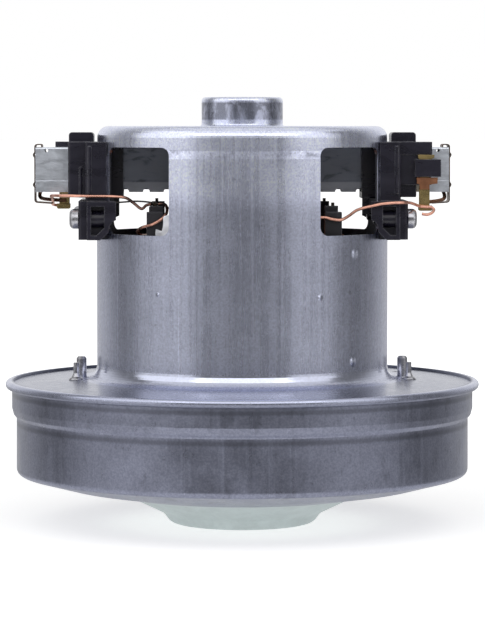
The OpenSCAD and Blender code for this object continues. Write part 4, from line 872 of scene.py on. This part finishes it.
def floor_material():
    """Pale paint with a glow for the camera and for what shines, and a sheen away from the part."""
    material = bpy.data.materials.new("floor")
    material.use_nodes = True
    look = Nodes(material.node_tree)
    look.tree.nodes.clear()
    rays = look.make("ShaderNodeLightPath").outputs
    reach = look.make("ShaderNodeVectorMath", operation="LENGTH")
    look.feed(reach.inputs[0], look.make("ShaderNodeTexCoord").outputs["Object"])
    distance = reach.outputs["Value"]
    shown = look.math("MULTIPLY", rays["Is Camera Ray"], look.ramp(distance, *FLOOR_WHITE_R, FLOOR_GLOW, 1.0))
    below = look.math("MULTIPLY", rays["Is Glossy Ray"], look.fall(distance, *FLOOR_NEAR_R))
    paint = look.make("ShaderNodeBsdfDiffuse")
    paint.inputs["Color"].default_value = FLOOR_PAINT
    glow = look.make("ShaderNodeEmission")
    look.feed(glow.inputs["Strength"], look.math("ADD", shown, look.math("MULTIPLY", below, FLOOR_SHINE)))
    painted = look.make("ShaderNodeAddShader")
    look.feed(painted.inputs[0], paint.outputs[0])
    look.feed(painted.inputs[1], glow.outputs[0])
    sheen = look.make("ShaderNodeBsdfGlossy")
    sheen.inputs["Roughness"].default_value = FLOOR_SHEEN_ROUGHNESS
    sheen.inputs["Color"].default_value = FLOOR_SHEEN_COLOUR
    mixed = look.make("ShaderNodeMixShader")
    away = look.math("SUBTRACT", rays["Is Glossy Ray"], below)
    look.feed(mixed.inputs[0], look.math("MULTIPLY", away, FLOOR_SHEEN))
    look.feed(mixed.inputs[1], painted.outputs[0])
    look.feed(mixed.inputs[2], sheen.outputs[0])
    look.feed(look.make("ShaderNodeOutputMaterial").inputs["Surface"], mixed.outputs[0])
    return material


def make_floor():
    """A pale, slightly shiny floor. To the camera it turns white away from the part but keeps its shadow."""
    mesh = bmesh.new()
    bmesh.ops.create_grid(mesh, x_segments=1, y_segments=1, size=FLOOR_SIZE / 2)
    data = bpy.data.meshes.new("floor")
    mesh.to_mesh(data)
    mesh.free()
    floor = bpy.data.objects.new("floor", data)
    bpy.context.scene.collection.objects.link(floor)
    floor.location = (0, 0, -FLOOR_DROP)
    data.materials.append(floor_material())


LIGHT_TARGET = (0, 0, 0.07)
BOX_DISTANCE = 1.0
BOX_HEIGHT = 0.55
TOP_PLACE = (0, -0.05, 1.1)
TOP_TARGET = (0, -0.05, 0)
FRONT_PLACE = (0, -1.05, 0.85)


def area_light(name, place, target, width, tall, level):
    """A rectangular light whose face has the given brightness."""
    data = bpy.data.lights.new(name, "AREA")
    data.shape = "RECTANGLE"
    data.size = width
    data.size_y = tall
    data.energy = math.pi * width * tall * level
    light = bpy.data.objects.new(name, data)
    bpy.context.scene.collection.objects.link(light)
    light.location = place
    light.rotation_euler = (Vector(target) - Vector(place)).to_track_quat("-Z", "Y").to_euler()
    light.visible_camera = False


def softbox(name, azimuth, width, tall, level):
    """A soft box to one side, at an azimuth in degrees from the front towards +X."""
    angle = math.radians(azimuth)
    place = (BOX_DISTANCE * math.sin(angle), -BOX_DISTANCE * math.cos(angle), BOX_HEIGHT)
    area_light(name, place, LIGHT_TARGET, width, tall, level)


def make_lights():
    softbox("key_left", azimuth=-64, width=1.15, tall=1.0, level=1.0)
    softbox("key_right", azimuth=56, width=0.85, tall=1.0, level=0.85)
    area_light("top", TOP_PLACE, TOP_TARGET, width=1.9, tall=1.1, level=0.6)
    area_light("front_high", FRONT_PLACE, LIGHT_TARGET, width=1.7, tall=0.9, level=1.35)


make_camera()
make_world()
make_floor()
make_lights()
make_materials()
make_leads()
make_shunts()
make_springs()
make_slip()

bpy.context.scene.view_settings.view_transform = "Standard"
